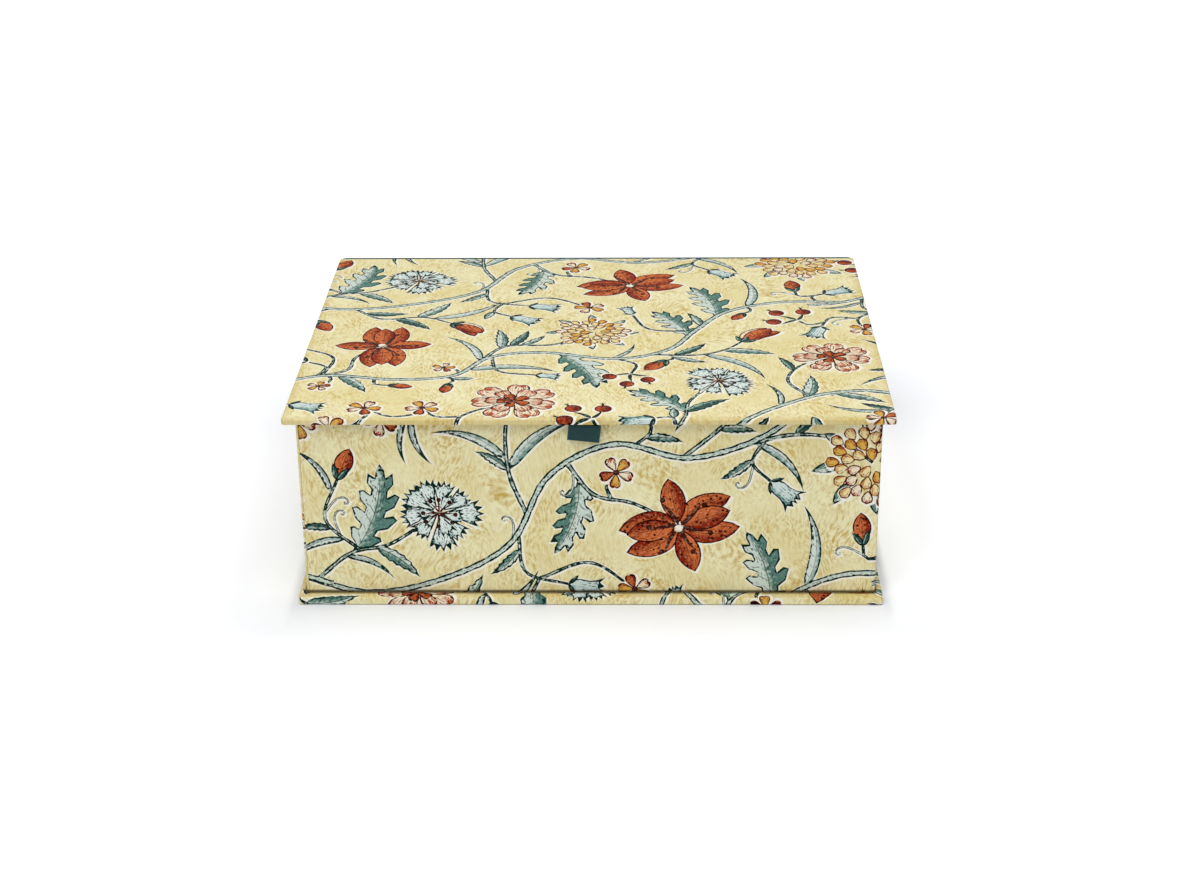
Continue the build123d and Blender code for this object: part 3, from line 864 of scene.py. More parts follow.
class BoardCover:
    """Cut shape and folds of the printed paper on the lid or the base."""

    def __init__(self, half, top, thick, front_round, back_round, turn_in_stop, up, cloth_show):
        self.half, self.top, self.thick, self.up = half, top, thick, up
        self.front_round, self.back_round = front_round, back_round
        self.cut = BACK - cloth_show
        self.turn_in_stop = turn_in_stop
        self.wall_end = EDGE_ROUND * math.pi / 2 + thick - EDGE_ROUND - FOLD_ROUND
        self.fold_end = self.wall_end + FOLD_ROUND * math.pi / 2
        self.turn_end = self.fold_end + TURN_IN - FOLD_ROUND
        self.back_middle = BACK + PAPER - back_round
        self.front_middle = FRONT + front_round
        # radius, y of the centre, and 1 at the back
        self.corners = (front_round, self.front_middle, -1), (back_round, self.back_middle, 1)

    def place(self, flat):
        """Outer surface and its normal for flat points."""
        x, y = flat[:, 0], flat[:, 1]
        side = np.where(x < 0, -1.0, 1.0)
        away = np.abs(x)
        base = np.stack([x, y], 1)
        d = np.full(len(flat), -1.0)
        out = np.zeros((len(flat), 2))
        right = away > self.half - EDGE_ROUND
        d[right] = away[right] - (self.half - EDGE_ROUND)
        out[right] = np.stack([side[right], 0 * side[right]], 1)
        base[right, 0] = side[right] * (self.half - EDGE_ROUND)
        front = (y < FRONT + EDGE_ROUND) & (y < self.front_middle) & (away < self.half - self.front_round)
        d[front] = FRONT + EDGE_ROUND - y[front]
        out[front] = (0.0, -1.0)
        base[front, 1] = FRONT + EDGE_ROUND
        for radius, middle, hand in self.corners:
            corner = (away > self.half - radius) & ((y - middle) * hand > 0)
            centre = np.stack([side * (self.half - radius), 0 * y + middle], 1)
            arm = flat - centre
            far = np.linalg.norm(arm, axis=1)
            ray = arm / np.maximum(far, 1e-9)[:, None]
            d[corner] = far[corner] - (radius - EDGE_ROUND)
            out[corner] = ray[corner]
            base[corner] = (centre + ray * (radius - EDGE_ROUND))[corner]
        beyond_edge, down, normal_out, normal_up = edge_fold(d, self.thick)
        flat_part = d < 0
        spot = base + out * beyond_edge[:, None]
        spot[flat_part] = flat[flat_part]
        z = self.top - self.up * np.where(flat_part, 0, down)
        normal = np.stack([out[:, 0] * normal_out, out[:, 1] * normal_out, self.up * normal_up], 1)
        normal[flat_part] = (0, 0, self.up)
        return np.stack([spot[:, 0], spot[:, 1], z], 1), normal

    def outline(self):
        """Cut outline on the flat, anticlockwise."""
        edge = self.half - EDGE_ROUND
        right = []
        r = self.back_round - EDGE_ROUND
        rise = self.cut - self.back_middle
        centre_x = self.half - self.back_round
        for d in np.linspace(0, self.fold_end, 9):
            out = float(edge_fold(d, self.thick)[0])
            turn = math.asin(rise / (r + out))
            right.append(beyond(centre_x, self.back_middle, r + d, turn))
        right.append((edge + self.fold_end, self.back_middle))
        if self.turn_in_stop < self.back_middle:
            right.append((edge + self.fold_end, self.turn_in_stop))
            right.append((edge + self.turn_end, self.turn_in_stop))
        else:
            right.append((edge + self.turn_end, self.back_middle))
        near = self.fold_end + self.front_round - FOLD_ROUND - 0.04
        right.append((edge + self.turn_end, FRONT + TURN_IN + SLIT))
        right.append((edge + near, self.front_middle + SLIT / 2))
        arm = self.front_round - EDGE_ROUND + near
        right += arc(self.half - self.front_round, self.front_middle, arm, (0, -math.pi / 2), 9)
        right.append((self.half - TURN_IN - SLIT, FRONT + EDGE_ROUND - self.turn_end))
        return [(x, y) for x, y in right] + [(-x, y) for x, y in reversed(right)]

    def creases(self):
        """Lines on the flat where the surface starts to turn."""
        lines = []
        steps = [EDGE_ROUND * math.pi / 2 * i / 5 for i in range(6)]
        steps += [self.wall_end + FOLD_ROUND * math.pi / 2 * i / 3 for i in range(4)]
        for d in steps:
            front_arc, back_arc = self.front_round - EDGE_ROUND + d, self.back_round - EDGE_ROUND + d
            side = arc(self.half - self.back_round, self.back_middle, back_arc, (math.pi / 2, 0), 7)
            side += arc(self.half - self.front_round, self.front_middle, front_arc, (0, -math.pi / 2), 7)
            lines.append(side + [(-px, py) for px, py in reversed(side)])
        for radius, middle, hand in self.corners:
            for i in range(7):
                inner, outer = (beyond(self.half - radius, middle, radius - EDGE_ROUND + out,
                                       hand * math.pi / 2 * i / 6) for out in (0, self.turn_end))
                lines += [[(s * px, py) for px, py in (inner, outer)] for s in (-1, 1)]
        return lines


class TrayCover:
    """Cut shape and folds of the strip round the tray and over its rim."""

    def __init__(self):
        self.half = TRAY_HALF - TRAY_ROUND
        self.front = TRAY_FRONT + TRAY_ROUND
        self.back = TRAY_BACK - TRAY_ROUND
        self.corner = TRAY_ROUND * math.pi / 2
        wide = 2 * self.half
        deep = self.back - self.front
        start = SEAM_IN - TRAY_ROUND + SLIT
        self.walls = []  # start, length, origin, direction, outward
        s = -start
        for length, origin, run, out in (
            (wide, (-self.half, self.front - TRAY_ROUND), (1, 0), (0, -1)),
            (deep, (self.half + TRAY_ROUND, self.front), (0, 1), (1, 0)),
            (wide, (self.half, self.back + TRAY_ROUND), (-1, 0), (0, 1)),
            (deep, (-self.half - TRAY_ROUND, self.back), (0, -1), (-1, 0)),
        ):
            self.walls.append((s, length, *(np.array(pair, float) for pair in (origin, run, out))))
            s += length + self.corner
        self.length = s
        self.wall_end = RIM - RIM_ROUND - BASE_TOP
        self.first_end = self.wall_end + RIM_ROUND * math.pi / 2
        self.top_end = self.first_end + RIM_WIDTH - 2 * RIM_ROUND
        self.second_end = self.top_end + RIM_ROUND * math.pi / 2
        self.turn_end = self.second_end + TURN_IN - RIM_ROUND

    def section(self, t):
        """How far in and how high the paper is at distance t from its foot, and its normal."""
        a = np.clip((t - self.wall_end) / RIM_ROUND, 0, math.pi / 2)
        b = np.clip((t - self.top_end) / RIM_ROUND, 0, math.pi / 2)
        inward = RIM_ROUND * (1 - np.cos(a)) + np.clip(t - self.first_end, 0, self.top_end - self.first_end)
        inward = inward + RIM_ROUND * np.sin(b)
        high = BASE_TOP + np.clip(t, 0, self.wall_end) + RIM_ROUND * np.sin(a)
        high = high - RIM_ROUND * (1 - np.cos(b)) - np.maximum(t - self.second_end, 0)
        normal_out = np.where(b > 0, -np.sin(b), np.cos(a))
        normal_up = np.where(b > 0, np.cos(b), np.sin(a))
        return inward, high, normal_out, normal_up

    def place(self, flat):
        """Outer surface and its normal for flat points."""
        s, t = flat[:, 0], flat[:, 1]
        inward, high, normal_out, normal_up = self.section(t)
        spot = np.zeros((len(flat), 2))
        out = np.zeros((len(flat), 2))
        for start, length, origin, run, outward in self.walls:
            on = (s >= start - 1e-6) & (s <= start + length)
            spot[on] = (origin + np.outer(s - start, run))[on]
            out[on] = outward
            turn = (s - start - length) / TRAY_ROUND
            on = (turn > 0) & (turn < math.pi / 2)
            centre = origin + run * length - outward * TRAY_ROUND
            ray = np.outer(np.cos(turn), outward) + np.outer(np.sin(turn), run)
            spot[on] = (centre + TRAY_ROUND * ray)[on]
            out[on] = ray[on]
        spot = spot - out * inward[:, None]
        normal = np.stack([out[:, 0] * normal_out, out[:, 1] * normal_out, normal_up], 1)
        return np.stack([spot[:, 0], spot[:, 1], high], 1), normal

    def outline(self):
        """Cut outline on the flat, anticlockwise."""
        near = self.first_end + TRAY_ROUND - RIM_ROUND - 0.03
        top = []
        for start, length, *_ in self.walls:
            step = RIM_WIDTH - RIM_ROUND - TRAY_ROUND
            full = RIM_WIDTH - TRAY_ROUND
            top += [(start, near), (start + step, self.top_end), (start + full, self.second_end),
                    (start + full, self.turn_end), (start + length - full, self.turn_end),
                    (start + length - full, self.second_end), (start + length - step, self.top_end),
                    (start + length, near)]
        top[0] = (0.0, near)
        end = self.length - 0.02
        return [(0.0, 0.0), (end, 0.0), (end, near)] + top[::-1]

    def creases(self):
        """Lines on the flat where the surface starts to turn."""
        lines = []
        for i in range(4):
            share = RIM_ROUND * math.pi / 2 * i / 3
            lines += [[(0, t + share), (self.length, t + share)] for t in (self.wall_end, self.top_end)]
        for start, length, *_ in self.walls:
            for i in range(7):
                s = start + length + self.corner * i / 6
                lines.append([(s, 0), (s, self.first_end + TRAY_ROUND - RIM_ROUND)])
        return lines


# Printing a cut sheet and folding it

def anticlockwise(loop, points):
    """The loop of point numbers, turned so that its inside is on the left."""
    x, y = np.array([points[i] for i in loop]).T[:2]
    area = (x * np.roll(y, -1) - np.roll(x, -1) * y).sum()
    return loop if area > 0 else loop[::-1]


def print_sheet(name, cover, offset, parts, material, holes=()):
    """Printed sheet, cut to the cover's outline from the repeat and folded round it."""
    outline = cover.outline()
    verts = [Vector(p) for p in outline]
    faces = [anticlockwise(list(range(len(outline))), outline)]
    edges = []
    owners = [None]
    for hole in holes:
        faces.append([len(verts) + i for i in anticlockwise(list(range(len(hole))), hole)])
        verts += [Vector(p) for p in hole]
        owners.append("hole")
    for line in cover.creases():
        edges += [(len(verts) + i, len(verts) + i + 1) for i in range(len(line) - 1)]
        verts += [Vector(p) for p in line]
    crease_count = len(edges)
    low, high = np.min(outline, 0), np.max(outline, 0)
    for part in parts:
        part_low, part_high = part["points"].min(0), part["points"].max(0)
        for column in range(-2, 6):
            for row in range(-3, 4):
                shift = np.array([column * REPEAT_X, row * REPEAT_Y + (column % 2) * REPEAT_Y / 2]) + offset
                if (part_high + shift < low).any() or (part_low + shift > high).any():
                    continue
                first = len(verts)
                verts += [Vector(p) for p in part["points"] + shift]
                faces.append([first + i for i in part["outline"]])
                edges += [(first + a, first + b) for a, b in part["ribs"]]
                owners.append((part, shift))
    spots, cut_edges, cut_faces, _, edge_sources, face_sources = delaunay_2d_cdt(
        verts, edges, faces, 0, 1e-4, True)
    flat = np.array([(v.x, v.y) for v in spots])
    triangles, tops = [], []
    for face, sources in zip(cut_faces, face_sources):
        if 0 not in sources or any(owners[source] == "hole" for source in sources):
            continue
        best, height = 0, -1e9
        for source in sources:
            if owners[source] is not None and owners[source][0]["layer"] > height:
                best, height = source, owners[source][0]["layer"]
        triangles.append(face)
        tops.append(best)
    crease_edges = [tuple(e) for e, s in zip(cut_edges, edge_sources) if any(i < crease_count for i in s)]
    return fold_sheet(name, cover, flat, np.array(triangles), np.array(tops), owners, crease_edges, material)


def part_values(part, shift, points):
    """Values of a print part at points that lie on it."""
    corners = (part["points"] + shift)[part["triangles"]]
    a, b, c = corners[:, 0], corners[:, 1], corners[:, 2]
    area = (b[:, 0] - a[:, 0]) * (c[:, 1] - a[:, 1]) - (c[:, 0] - a[:, 0]) * (b[:, 1] - a[:, 1])
    area = np.where(np.abs(area) < 1e-9, 1e-9, area)
    px, py = points[:, None, 0], points[:, None, 1]
    wb = ((px - a[:, 0]) * (c[:, 1] - a[:, 1]) - (c[:, 0] - a[:, 0]) * (py - a[:, 1])) / area
    wc = ((b[:, 0] - a[:, 0]) * (py - a[:, 1]) - (px - a[:, 0]) * (b[:, 1] - a[:, 1])) / area
    weights = np.stack([1 - wb - wc, wb, wc], 2)
    best = weights.min(2).argmax(1)
    weights = np.clip(weights[np.arange(len(points)), best], 0, 1)
    weights /= weights.sum(1, keepdims=True)
    chosen = part["triangles"][best]
    place = (part["place"][chosen] * weights[:, :, None]).sum(1)
    share = (part["share"][chosen] * weights[:, :, None]).sum(1)
    return place, share


def fold_sheet(name, cover, flat, triangles, tops, owners, crease_edges, material):
    """Closed mesh of a printed sheet: its face, its back and its cut edges."""
    used, inverse = np.unique(triangles, return_inverse=True)
    flat = flat[used]
    triangles = inverse.reshape(triangles.shape)
    renumber = {int(u): i for i, u in enumerate(used)}
    directed = {edge: True for a, b, c in triangles.tolist() for edge in ((a, b), (b, c), (c, a))}
    border = [e for e in directed if (e[1], e[0]) not in directed]
    lines = [(renumber[a], renumber[b]) for a, b in crease_edges if a in renumber and b in renumber]
    back_points = sorted({i for e in border + lines for i in e})
    slot = {p: i for i, p in enumerate(back_points)}
    loops = []
    following = dict(border)
    left = set(following)
    while left:
        loop = [min(left)]
        left.discard(loop[0])
        while following[loop[-1]] in left:
            loop.append(following[loop[-1]])
            left.discard(loop[-1])
        loops.append(loop)
    loops.sort(key=len, reverse=True)
    back_spots, _, back_faces, spot_sources, _, face_sources = delaunay_2d_cdt(
        [Vector(flat[p]) for p in back_points], [(slot[a], slot[b]) for a, b in lines],
        [[slot[p] for p in anticlockwise(loop, flat)] for loop in loops], 0, 1e-6, True)
    back_flat = np.array([(v.x, v.y) for v in back_spots])
    back_faces = [f for f, s in zip(back_faces, face_sources) if 0 in s and not any(i > 0 for i in s)]
    back_slot = {source: i for i, sources in enumerate(spot_sources) for source in sources}
    outer, _ = cover.place(flat)
    back, normal = cover.place(back_flat)
    inner = back - normal * PAPER_BODY
    count = len(flat)
    faces = [tuple(t) for t in triangles.tolist()]
    faces += [tuple(count + i for i in reversed(f)) for f in back_faces]
    faces += [(b, a, count + back_slot[slot[a]], count + back_slot[slot[b]]) for a, b in border]
    turned = turns_over(outer, triangles, cover, flat)
    if turned:
        faces = [tuple(reversed(f)) for f in faces]
    mesh = bpy.data.meshes.new(name)
    mesh.from_pydata((np.vstack([outer, inner]) * MM).tolist(), [], faces)
    ink_mesh(mesh, flat, triangles, tops, owners, turned)
    mesh.materials.append(material)
    return put(bpy.data.objects.new(name, mesh))


def turns_over(outer, triangles, cover, flat):
    """True where the flat's anticlockwise faces would point inwards."""
    a, b, c = (outer[triangles[:, i]] for i in range(3))
    face = np.cross(b - a, c - a)
    middle = (flat[triangles[:, 0]] + flat[triangles[:, 1]] + flat[triangles[:, 2]]) / 3
    _, normal = cover.place(middle)
    return float((face * normal).sum()) < 0


INK_FIELDS = ("fill", "shade", "line", "pen")
PLACE_FIELDS = ("ink place", "ink share", "sheet place")
DEEP_IN = 5.0  # inset in mm, clear of any outline


def ink_mesh(mesh, flat, triangles, tops, owners, turned):
    """Store the ink, the pen and the place in its drawing on each corner of the face."""
    order = np.argsort(tops, kind="stable")
    number = len(triangles)
    corners = len(mesh.loops)
    inks = {key: np.zeros((corners, 4)) for key in INK_FIELDS}
    place, share, sheet = fields = [np.zeros((corners, 3)) for _ in PLACE_FIELDS]
    sheet[:3 * number, :2] = flat[triangles].reshape(-1, 2)
    for group in np.split(order, np.flatnonzero(np.diff(tops[order])) + 1):
        owner = owners[tops[group[0]]]
        if owner is None:
            continue
        part, shift = owner
        fill, shade, line, width, shade_reach, veins, hatching, dots, flame = INKS[part["ink"]]
        rows = (group[:, None] * 3 + np.arange(3)).ravel()
        place[rows] = (0, 0, DEEP_IN)
        if part["ink"] != "resist":
            place[rows], share[rows, :2] = part_values(part, shift, flat[triangles[group]].reshape(-1, 2))
        share[rows, 2] = shade_reach
        inks["fill"][rows] = linear(fill)
        inks["shade"][rows] = linear(shade, flame)
        inks["line"][rows] = linear(line)
        inks["pen"][rows] = (width, veins, hatching, dots)
    core = INKS["paper core"]
    inks["fill"][3 * number:] = linear(core[0])
    inks["shade"][3 * number:] = linear(core[1], 0.0)
    place[3 * number:, 2] = DEEP_IN
    if turned:  # the corners of each face were reversed
        flip = np.arange(3 * number).reshape(-1, 3)[:, ::-1].ravel()
        for values in [*inks.values(), *fields]:
            values[:3 * number] = values[flip]
    for key, values in inks.items():
        store(mesh, "ink " + key, "FLOAT_COLOR", "CORNER", values)
    for key, values in zip(PLACE_FIELDS, fields):
        store(mesh, key, "FLOAT_VECTOR", "CORNER", values)


# Materials

# A MapRange is given its value, the range that counts, and what its ends become. A noise is
# given its place, scale and detail. Scales are per mm on a printed sheet, per metre elsewhere.
WAVE_REPEAT = 0.314  # metres from band to band in a wave texture of scale 1


def printed_paper():
    """Uncoated offset paper with a block-printed look, varnished thin.

    The colours were laid by hand-cut blocks: outlines break up, fills are mottled, and a
    white resist shows beside each motif. The ground is combed paste paint, cream over
    ochre, whose strokes turn like fur. The varnish has sunk in, so the paper is all but matt.
    """
    material, tree, shader = new_material("printed paper, thin varnish")
    fill, shade, line, pen = (add(tree, "Attribute", attribute_name="ink " + key) for key in INK_FIELDS)
    place, share, sheet = (
        add(tree, "Attribute", attribute_name=key).outputs["Vector"] for key in PLACE_FIELDS)
    line_width, vein_strength, hatch_strength = add(tree, "SeparateColor", pen).outputs
    along, across, inset = add(tree, "SeparateXYZ", place).outputs
    share_along, share_across, shade_reach = add(tree, "SeparateXYZ", share).outputs

    # the line wavers and breaks where the block printed dry
    waver = add(tree, "TexNoise", sheet, 0.55, 2.0)
    dry = add(tree, "TexNoise", sheet, 0.42, 1.0)
    width = add(tree, "MapRange", waver, 0.3, 0.7, 0.6, 1.5)
    width = add(tree, "Math", width, line_width, operation="MULTIPLY")
    inside = add(tree, "Math", inset, width, operation="SUBTRACT")
    outline = add(tree, "MapRange", inside, -0.02, 0.10, 1.0, 0.0)
    unbroken = add(tree, "MapRange", dry, 0.36, 0.42, 0.25, 1.0)
    outline = add(tree, "Math", outline, unbroken, operation="MULTIPLY")
    has_line = add(tree, "Math", line_width, 0.01, operation="GREATER_THAN")
    outline = add(tree, "Math", outline, has_line, operation="MULTIPLY")

    # midrib and side veins
    off_rib = add(tree, "Math", across, operation="ABSOLUTE")
    rib = add(tree, "MapRange", off_rib, 0.14, 0.26, 1.0, 0.0)
    slant = add(tree, "Math", off_rib, -1.1, along, operation="MULTIPLY_ADD")
    slant = add(tree, "Math", slant, 2.4, operation="DIVIDE")
    slant = add(tree, "Math", slant, 1.0, operation="PINGPONG")
    side_vein = add(tree, "MapRange", slant, 0.06, 0.14, 1.0, 0.0)
    side_vein = add(tree, "Math", side_vein, unbroken, operation="MULTIPLY")
    veins = add(tree, "Math", rib, side_vein, operation="MAXIMUM")
    off_share = add(tree, "Math", share_across, operation="ABSOLUTE")
    vein_reach = add(tree, "MapRange", off_share, 0.6, 0.8, 1.0, 0.0)
    vein_tip = add(tree, "MapRange", share_along, 0.75, 0.95, 1.0, 0.0)
    veins = add(tree, "Math", veins, vein_reach, operation="MULTIPLY")
    veins = add(tree, "Math", veins, vein_tip, operation="MULTIPLY")
    veins = add(tree, "Math", veins, vein_strength, operation="MULTIPLY")

    # hatching: short strokes that follow the petal, kept to its outer half
    comb = add(tree, "Math", across, 0.55, operation="DIVIDE")
    comb = add(tree, "Math", comb, 1.0, operation="PINGPONG")
    comb = add(tree, "MapRange", comb, 0.20, 0.34, 1.0, 0.0)
    dash = add(tree, "TexNoise", place, 0.75, 0.0)
    dash = add(tree, "MapRange", dash, 0.5, 0.56)
    hatch = add(tree, "Math", comb, dash, operation="MULTIPLY")
    hatch_reach = add(tree, "MapRange", share_along, 0.30, 0.50)
    hatch = add(tree, "Math", hatch, hatch_reach, operation="MULTIPLY")
    hatch = add(tree, "Math", hatch, hatch_strength, operation="MULTIPLY")

    # dots about 2 mm apart
    dots = add(tree, "TexVoronoi", sheet, 0.5)
    dots = add(tree, "MapRange", dots.outputs["Distance"], 0.22, 0.30, 1.0, 0.0)
    dots = add(tree, "Math", dots, pen.outputs["Alpha"], operation="MULTIPLY")

    drawn_line = add(tree, "Math", outline, veins, operation="MAXIMUM")
    drawn_line = add(tree, "Math", drawn_line, hatch, operation="MAXIMUM")
    drawn_line = add(tree, "Math", drawn_line, dots, operation="MAXIMUM", use_clamp=True)

    # one side shaded, streaks that flame in from the tip, the fill mottled where the ink lay thin
    mottle = add(tree, "TexNoise", sheet, 0.5, 3.0)
    turn = add(tree, "Math", share_across, -0.5, shade_reach, operation="MULTIPLY_ADD")
    turn = add(tree, "Math", turn, mottle, operation="ADD")
    shaded = add(tree, "MapRange", turn, 0.52, 0.82)
    streak = add(tree, "Mapping", {"Vector": place, "Scale": (0.22, 1.5, 0.0)})
    streak = add(tree, "TexNoise", streak, 1.0, 1.0)
    streak = add(tree, "Math", share_along, 0.55, streak, operation="MULTIPLY_ADD")
    streak = add(tree, "MapRange", streak, 0.88, 0.98)
    streak = add(tree, "Math", streak, shade.outputs["Alpha"], operation="MULTIPLY")
    shaded = add(tree, "Math", shaded, streak, operation="MAXIMUM")
    body = add(tree, "Mix", shaded, fill, shade, data_type="RGBA")
    thin = add(tree, "TexNoise", sheet, 0.9, 3.0)
    thin = add(tree, "MapRange", thin, 0.52, 0.74, 0.0, 0.25)
    body = add(tree, "Mix", thin, body, linear("#E9D9B4"), data_type="RGBA")
    inked = add(tree, "Mix", drawn_line, body, line, data_type="RGBA")

    # ground: combed paste, strokes 0.5 mm apart that turn every 15 mm or so
    drift = add(tree, "TexNoise", sheet, 0.032, 1.0)
    drift = add(tree, "VectorMath", drift.outputs["Color"], 26.0, operation="SCALE")
    combed = add(tree, "VectorMath", sheet, drift, operation="ADD")
    combed = add(tree, "Mapping", {"Vector": combed, "Scale": (1.0, 0.3, 1.0), "Rotation": (0, 0, 0.35)})
    strokes = add(tree, "TexNoise", combed, 1.0, 3.0, 0.6)
    clouds = add(tree, "TexNoise", sheet, 0.06, 3.0)
    depth = add(tree, "MapRange", clouds, 0.38, 0.62, 0.3, 1.0)
    strokes = add(tree, "MapRange", strokes, 0.42, 0.66)
    strokes = add(tree, "Math", strokes, depth, operation="MULTIPLY")
    ground = add(tree, "Mix", strokes, linear("#F2ECC0"), linear("#C9A952"), data_type="RGBA")
    patch = add(tree, "TexNoise", sheet, 0.035, 2.0)
    patch = add(tree, "MapRange", patch, 0.42, 0.66, 0.0, 0.42)
    ground = add(tree, "Mix", patch, ground, linear("#DECB80"), data_type="RGBA")
    bare = add(tree, "TexNoise", sheet, 0.11, 4.0)
    bare = add(tree, "MapRange", bare, 0.62, 0.74, 0.0, 0.45)
    ground = add(tree, "Mix", bare, ground, linear("#F3EFD3"), data_type="RGBA")

    # painted shade: a dark brown stands for the shade in the joint under the tray, on the base's ledge
    # beside it and along the base's foot edge; the ground also turns a darker ochre toward the tray on the
    # ledge, which is painted shade with some glue, and darker along the boards' edges and where the ribbon
    # is pulled
    x, y, z = add(tree, "SeparateXYZ", add(tree, "TexCoord").outputs["Object"]).outputs
    on_tray = add(tree, "Math", z, (BASE_TOP + 0.02) * MM, operation="GREATER_THAN")
    on_top = add(tree, "Math", z, (BASE_TOP - 0.1) * MM, operation="GREATER_THAN")
    # painted shade in the crease at the tray's foot, strongest just above the base
    foot = add(tree, "MapRange", z, (BASE_TOP + 0.5) * MM, (BASE_TOP + 1.6) * MM, 0.85, 0.0,
               interpolation_type="SMOOTHERSTEP")
    beside = add(tree, "Math", x, operation="ABSOLUTE")
    beside = add(tree, "Math", beside, TRAY_HALF * MM, operation="SUBTRACT")
    before = add(tree, "Math", TRAY_FRONT * MM, y, operation="SUBTRACT")
    away = add(tree, "Math", beside, before, operation="MAXIMUM")
    # painted shade on the base's ledge, close beside the tray
    ledge_crease_shade = add(tree, "MapRange", away, 0.3 * MM, 1.9 * MM, 0.7, 0.0, interpolation_type="SMOOTHERSTEP")
    ledge_crease_shade = add(tree, "Math", ledge_crease_shade, on_top, operation="MULTIPLY")
    # painted shade with some glue: the ledge's ground turns a darker ochre toward the tray
    ledge_shade_and_glue = add(tree, "MapRange", away, 0.0, 5.0 * MM, 0.5, 0.1)
    ledge_shade_and_glue = add(tree, "Math", ledge_shade_and_glue, on_top, operation="MULTIPLY")
    outer_edge = add(tree, "Math", away, 4.2 * MM, operation="GREATER_THAN")
    # darker ochre toward the boards' outer edges, and a thumb mark on the edge where the ribbon is pulled
    edge_darkening = add(tree, "MapRange", away, 1.0 * MM, 4.8 * MM, 0.0, 0.42)
    off_ribbon = add(tree, "Math", x, RIBBON_MIDDLE * MM, operation="SUBTRACT")
    off_ribbon = add(tree, "Math", off_ribbon, operation="ABSOLUTE")
    thumbed = add(tree, "MapRange", off_ribbon, 4.0 * MM, 11.0 * MM, 0.85, 0.0,
                  interpolation_type="SMOOTHSTEP")
    thumbed = add(tree, "Math", thumbed, outer_edge, operation="MULTIPLY")
    edge_darkening = add(tree, "Math", edge_darkening, thumbed, operation="MAXIMUM")
    # the darker ochre: painted shade and glue on the ledge, and the edge darkening on the lid and tray
    aged = add(tree, "Mix", on_tray, ledge_shade_and_glue, edge_darkening)
    ground = add(tree, "Mix", aged, ground, linear("#C4A64F"), data_type="RGBA")
    printed = add(tree, "Mix", fill.outputs["Alpha"], ground, inked, data_type="RGBA")
    # painted shade along the base's foot edge, where it meets the floor
    foot_edge_shade = add(tree, "MapRange", z, 0.15 * MM, 0.5 * MM, 0.5, 0.0)
    foot_edge_shade = add(tree, "Math", foot_edge_shade, outer_edge, operation="MULTIPLY")
    # the painted shade of the joints and of the foot edge, laid over the print in dark brown
    painted_joint_shade = add(tree, "Mix", on_tray, ledge_crease_shade, foot)
    painted_joint_shade = add(tree, "Math", painted_joint_shade, foot_edge_shade, operation="MAXIMUM")
    printed = add(tree, "Mix", painted_joint_shade, printed, linear("#3A2A06"), data_type="RGBA")

    # paper fibre, hardly filled by the varnish
    fibre = add(tree, "TexNoise", sheet, 2.2, 4.0)
    bump = add(tree, "Bump", {"Strength": 0.18, "Distance": 0.00006, "Height": fibre})
    gloss = add(tree, "MapRange", {"Value": fibre, "To Min": 0.48, "To Max": 0.62})
    feed(tree, shader, {"Base Color": printed, "Normal": bump, "Roughness": gloss,
                        "Specular IOR Level": 0.04})
    return material


def book_cloth():
    """Rayon book cloth, dyed teal and backed with paper.

    A plain weave of soft threads 0.4 mm apart, drawn here a little coarser so that it
    shows. The thread tops are paler, and the dye fades lighter in soft clouds.
    """
    material, tree, shader = new_material("book cloth, plain weave")
    place = add(tree, "TexCoord").outputs["Object"]
    thread = 0.55 * MM
    across, along, deep = (
        add(tree, "TexWave", place, WAVE_REPEAT / thread, 0.6, 1.0, 0.4, bands_direction=axis).outputs["Fac"]
        for axis in "XZY")
    normal = add(tree, "NewGeometry").outputs["True Normal"]
    level = add(tree, "Math", add(tree, "SeparateXYZ", normal).outputs["Z"], operation="ABSOLUTE")
    level = add(tree, "Math", level, 0.7, operation="GREATER_THAN")
    second = add(tree, "Mix", level, along, deep)
    weave = add(tree, "Math", across, second, operation="MULTIPLY")
    slub = add(tree, "TexNoise", place, 900.0, 3.0)
    cloud = add(tree, "TexNoise", place, 60.0, 3.0)
    height = add(tree, "Math", slub, 0.35, weave, operation="MULTIPLY_ADD")
    tone = add(tree, "MapRange", height, 0.1, 1.1)
    dyed = add(tree, "Mix", tone, linear("#12292C"), linear("#274E50"), data_type="RGBA")
    faded = add(tree, "MapRange", cloud, 0.35, 0.75, 0.0, 0.3)
    dyed = add(tree, "Mix", faded, dyed, linear("#33595A"), data_type="RGBA")
    bump = add(tree, "Bump", {"Strength": 0.6, "Distance": 0.0001, "Height": height})
    feed(tree, shader, {"Base Color": dyed, "Normal": bump, "Roughness": 0.85, "Specular IOR Level": 0.3,
                        "Sheen Weight": 0.06, "Sheen Roughness": 0.5})
    return material


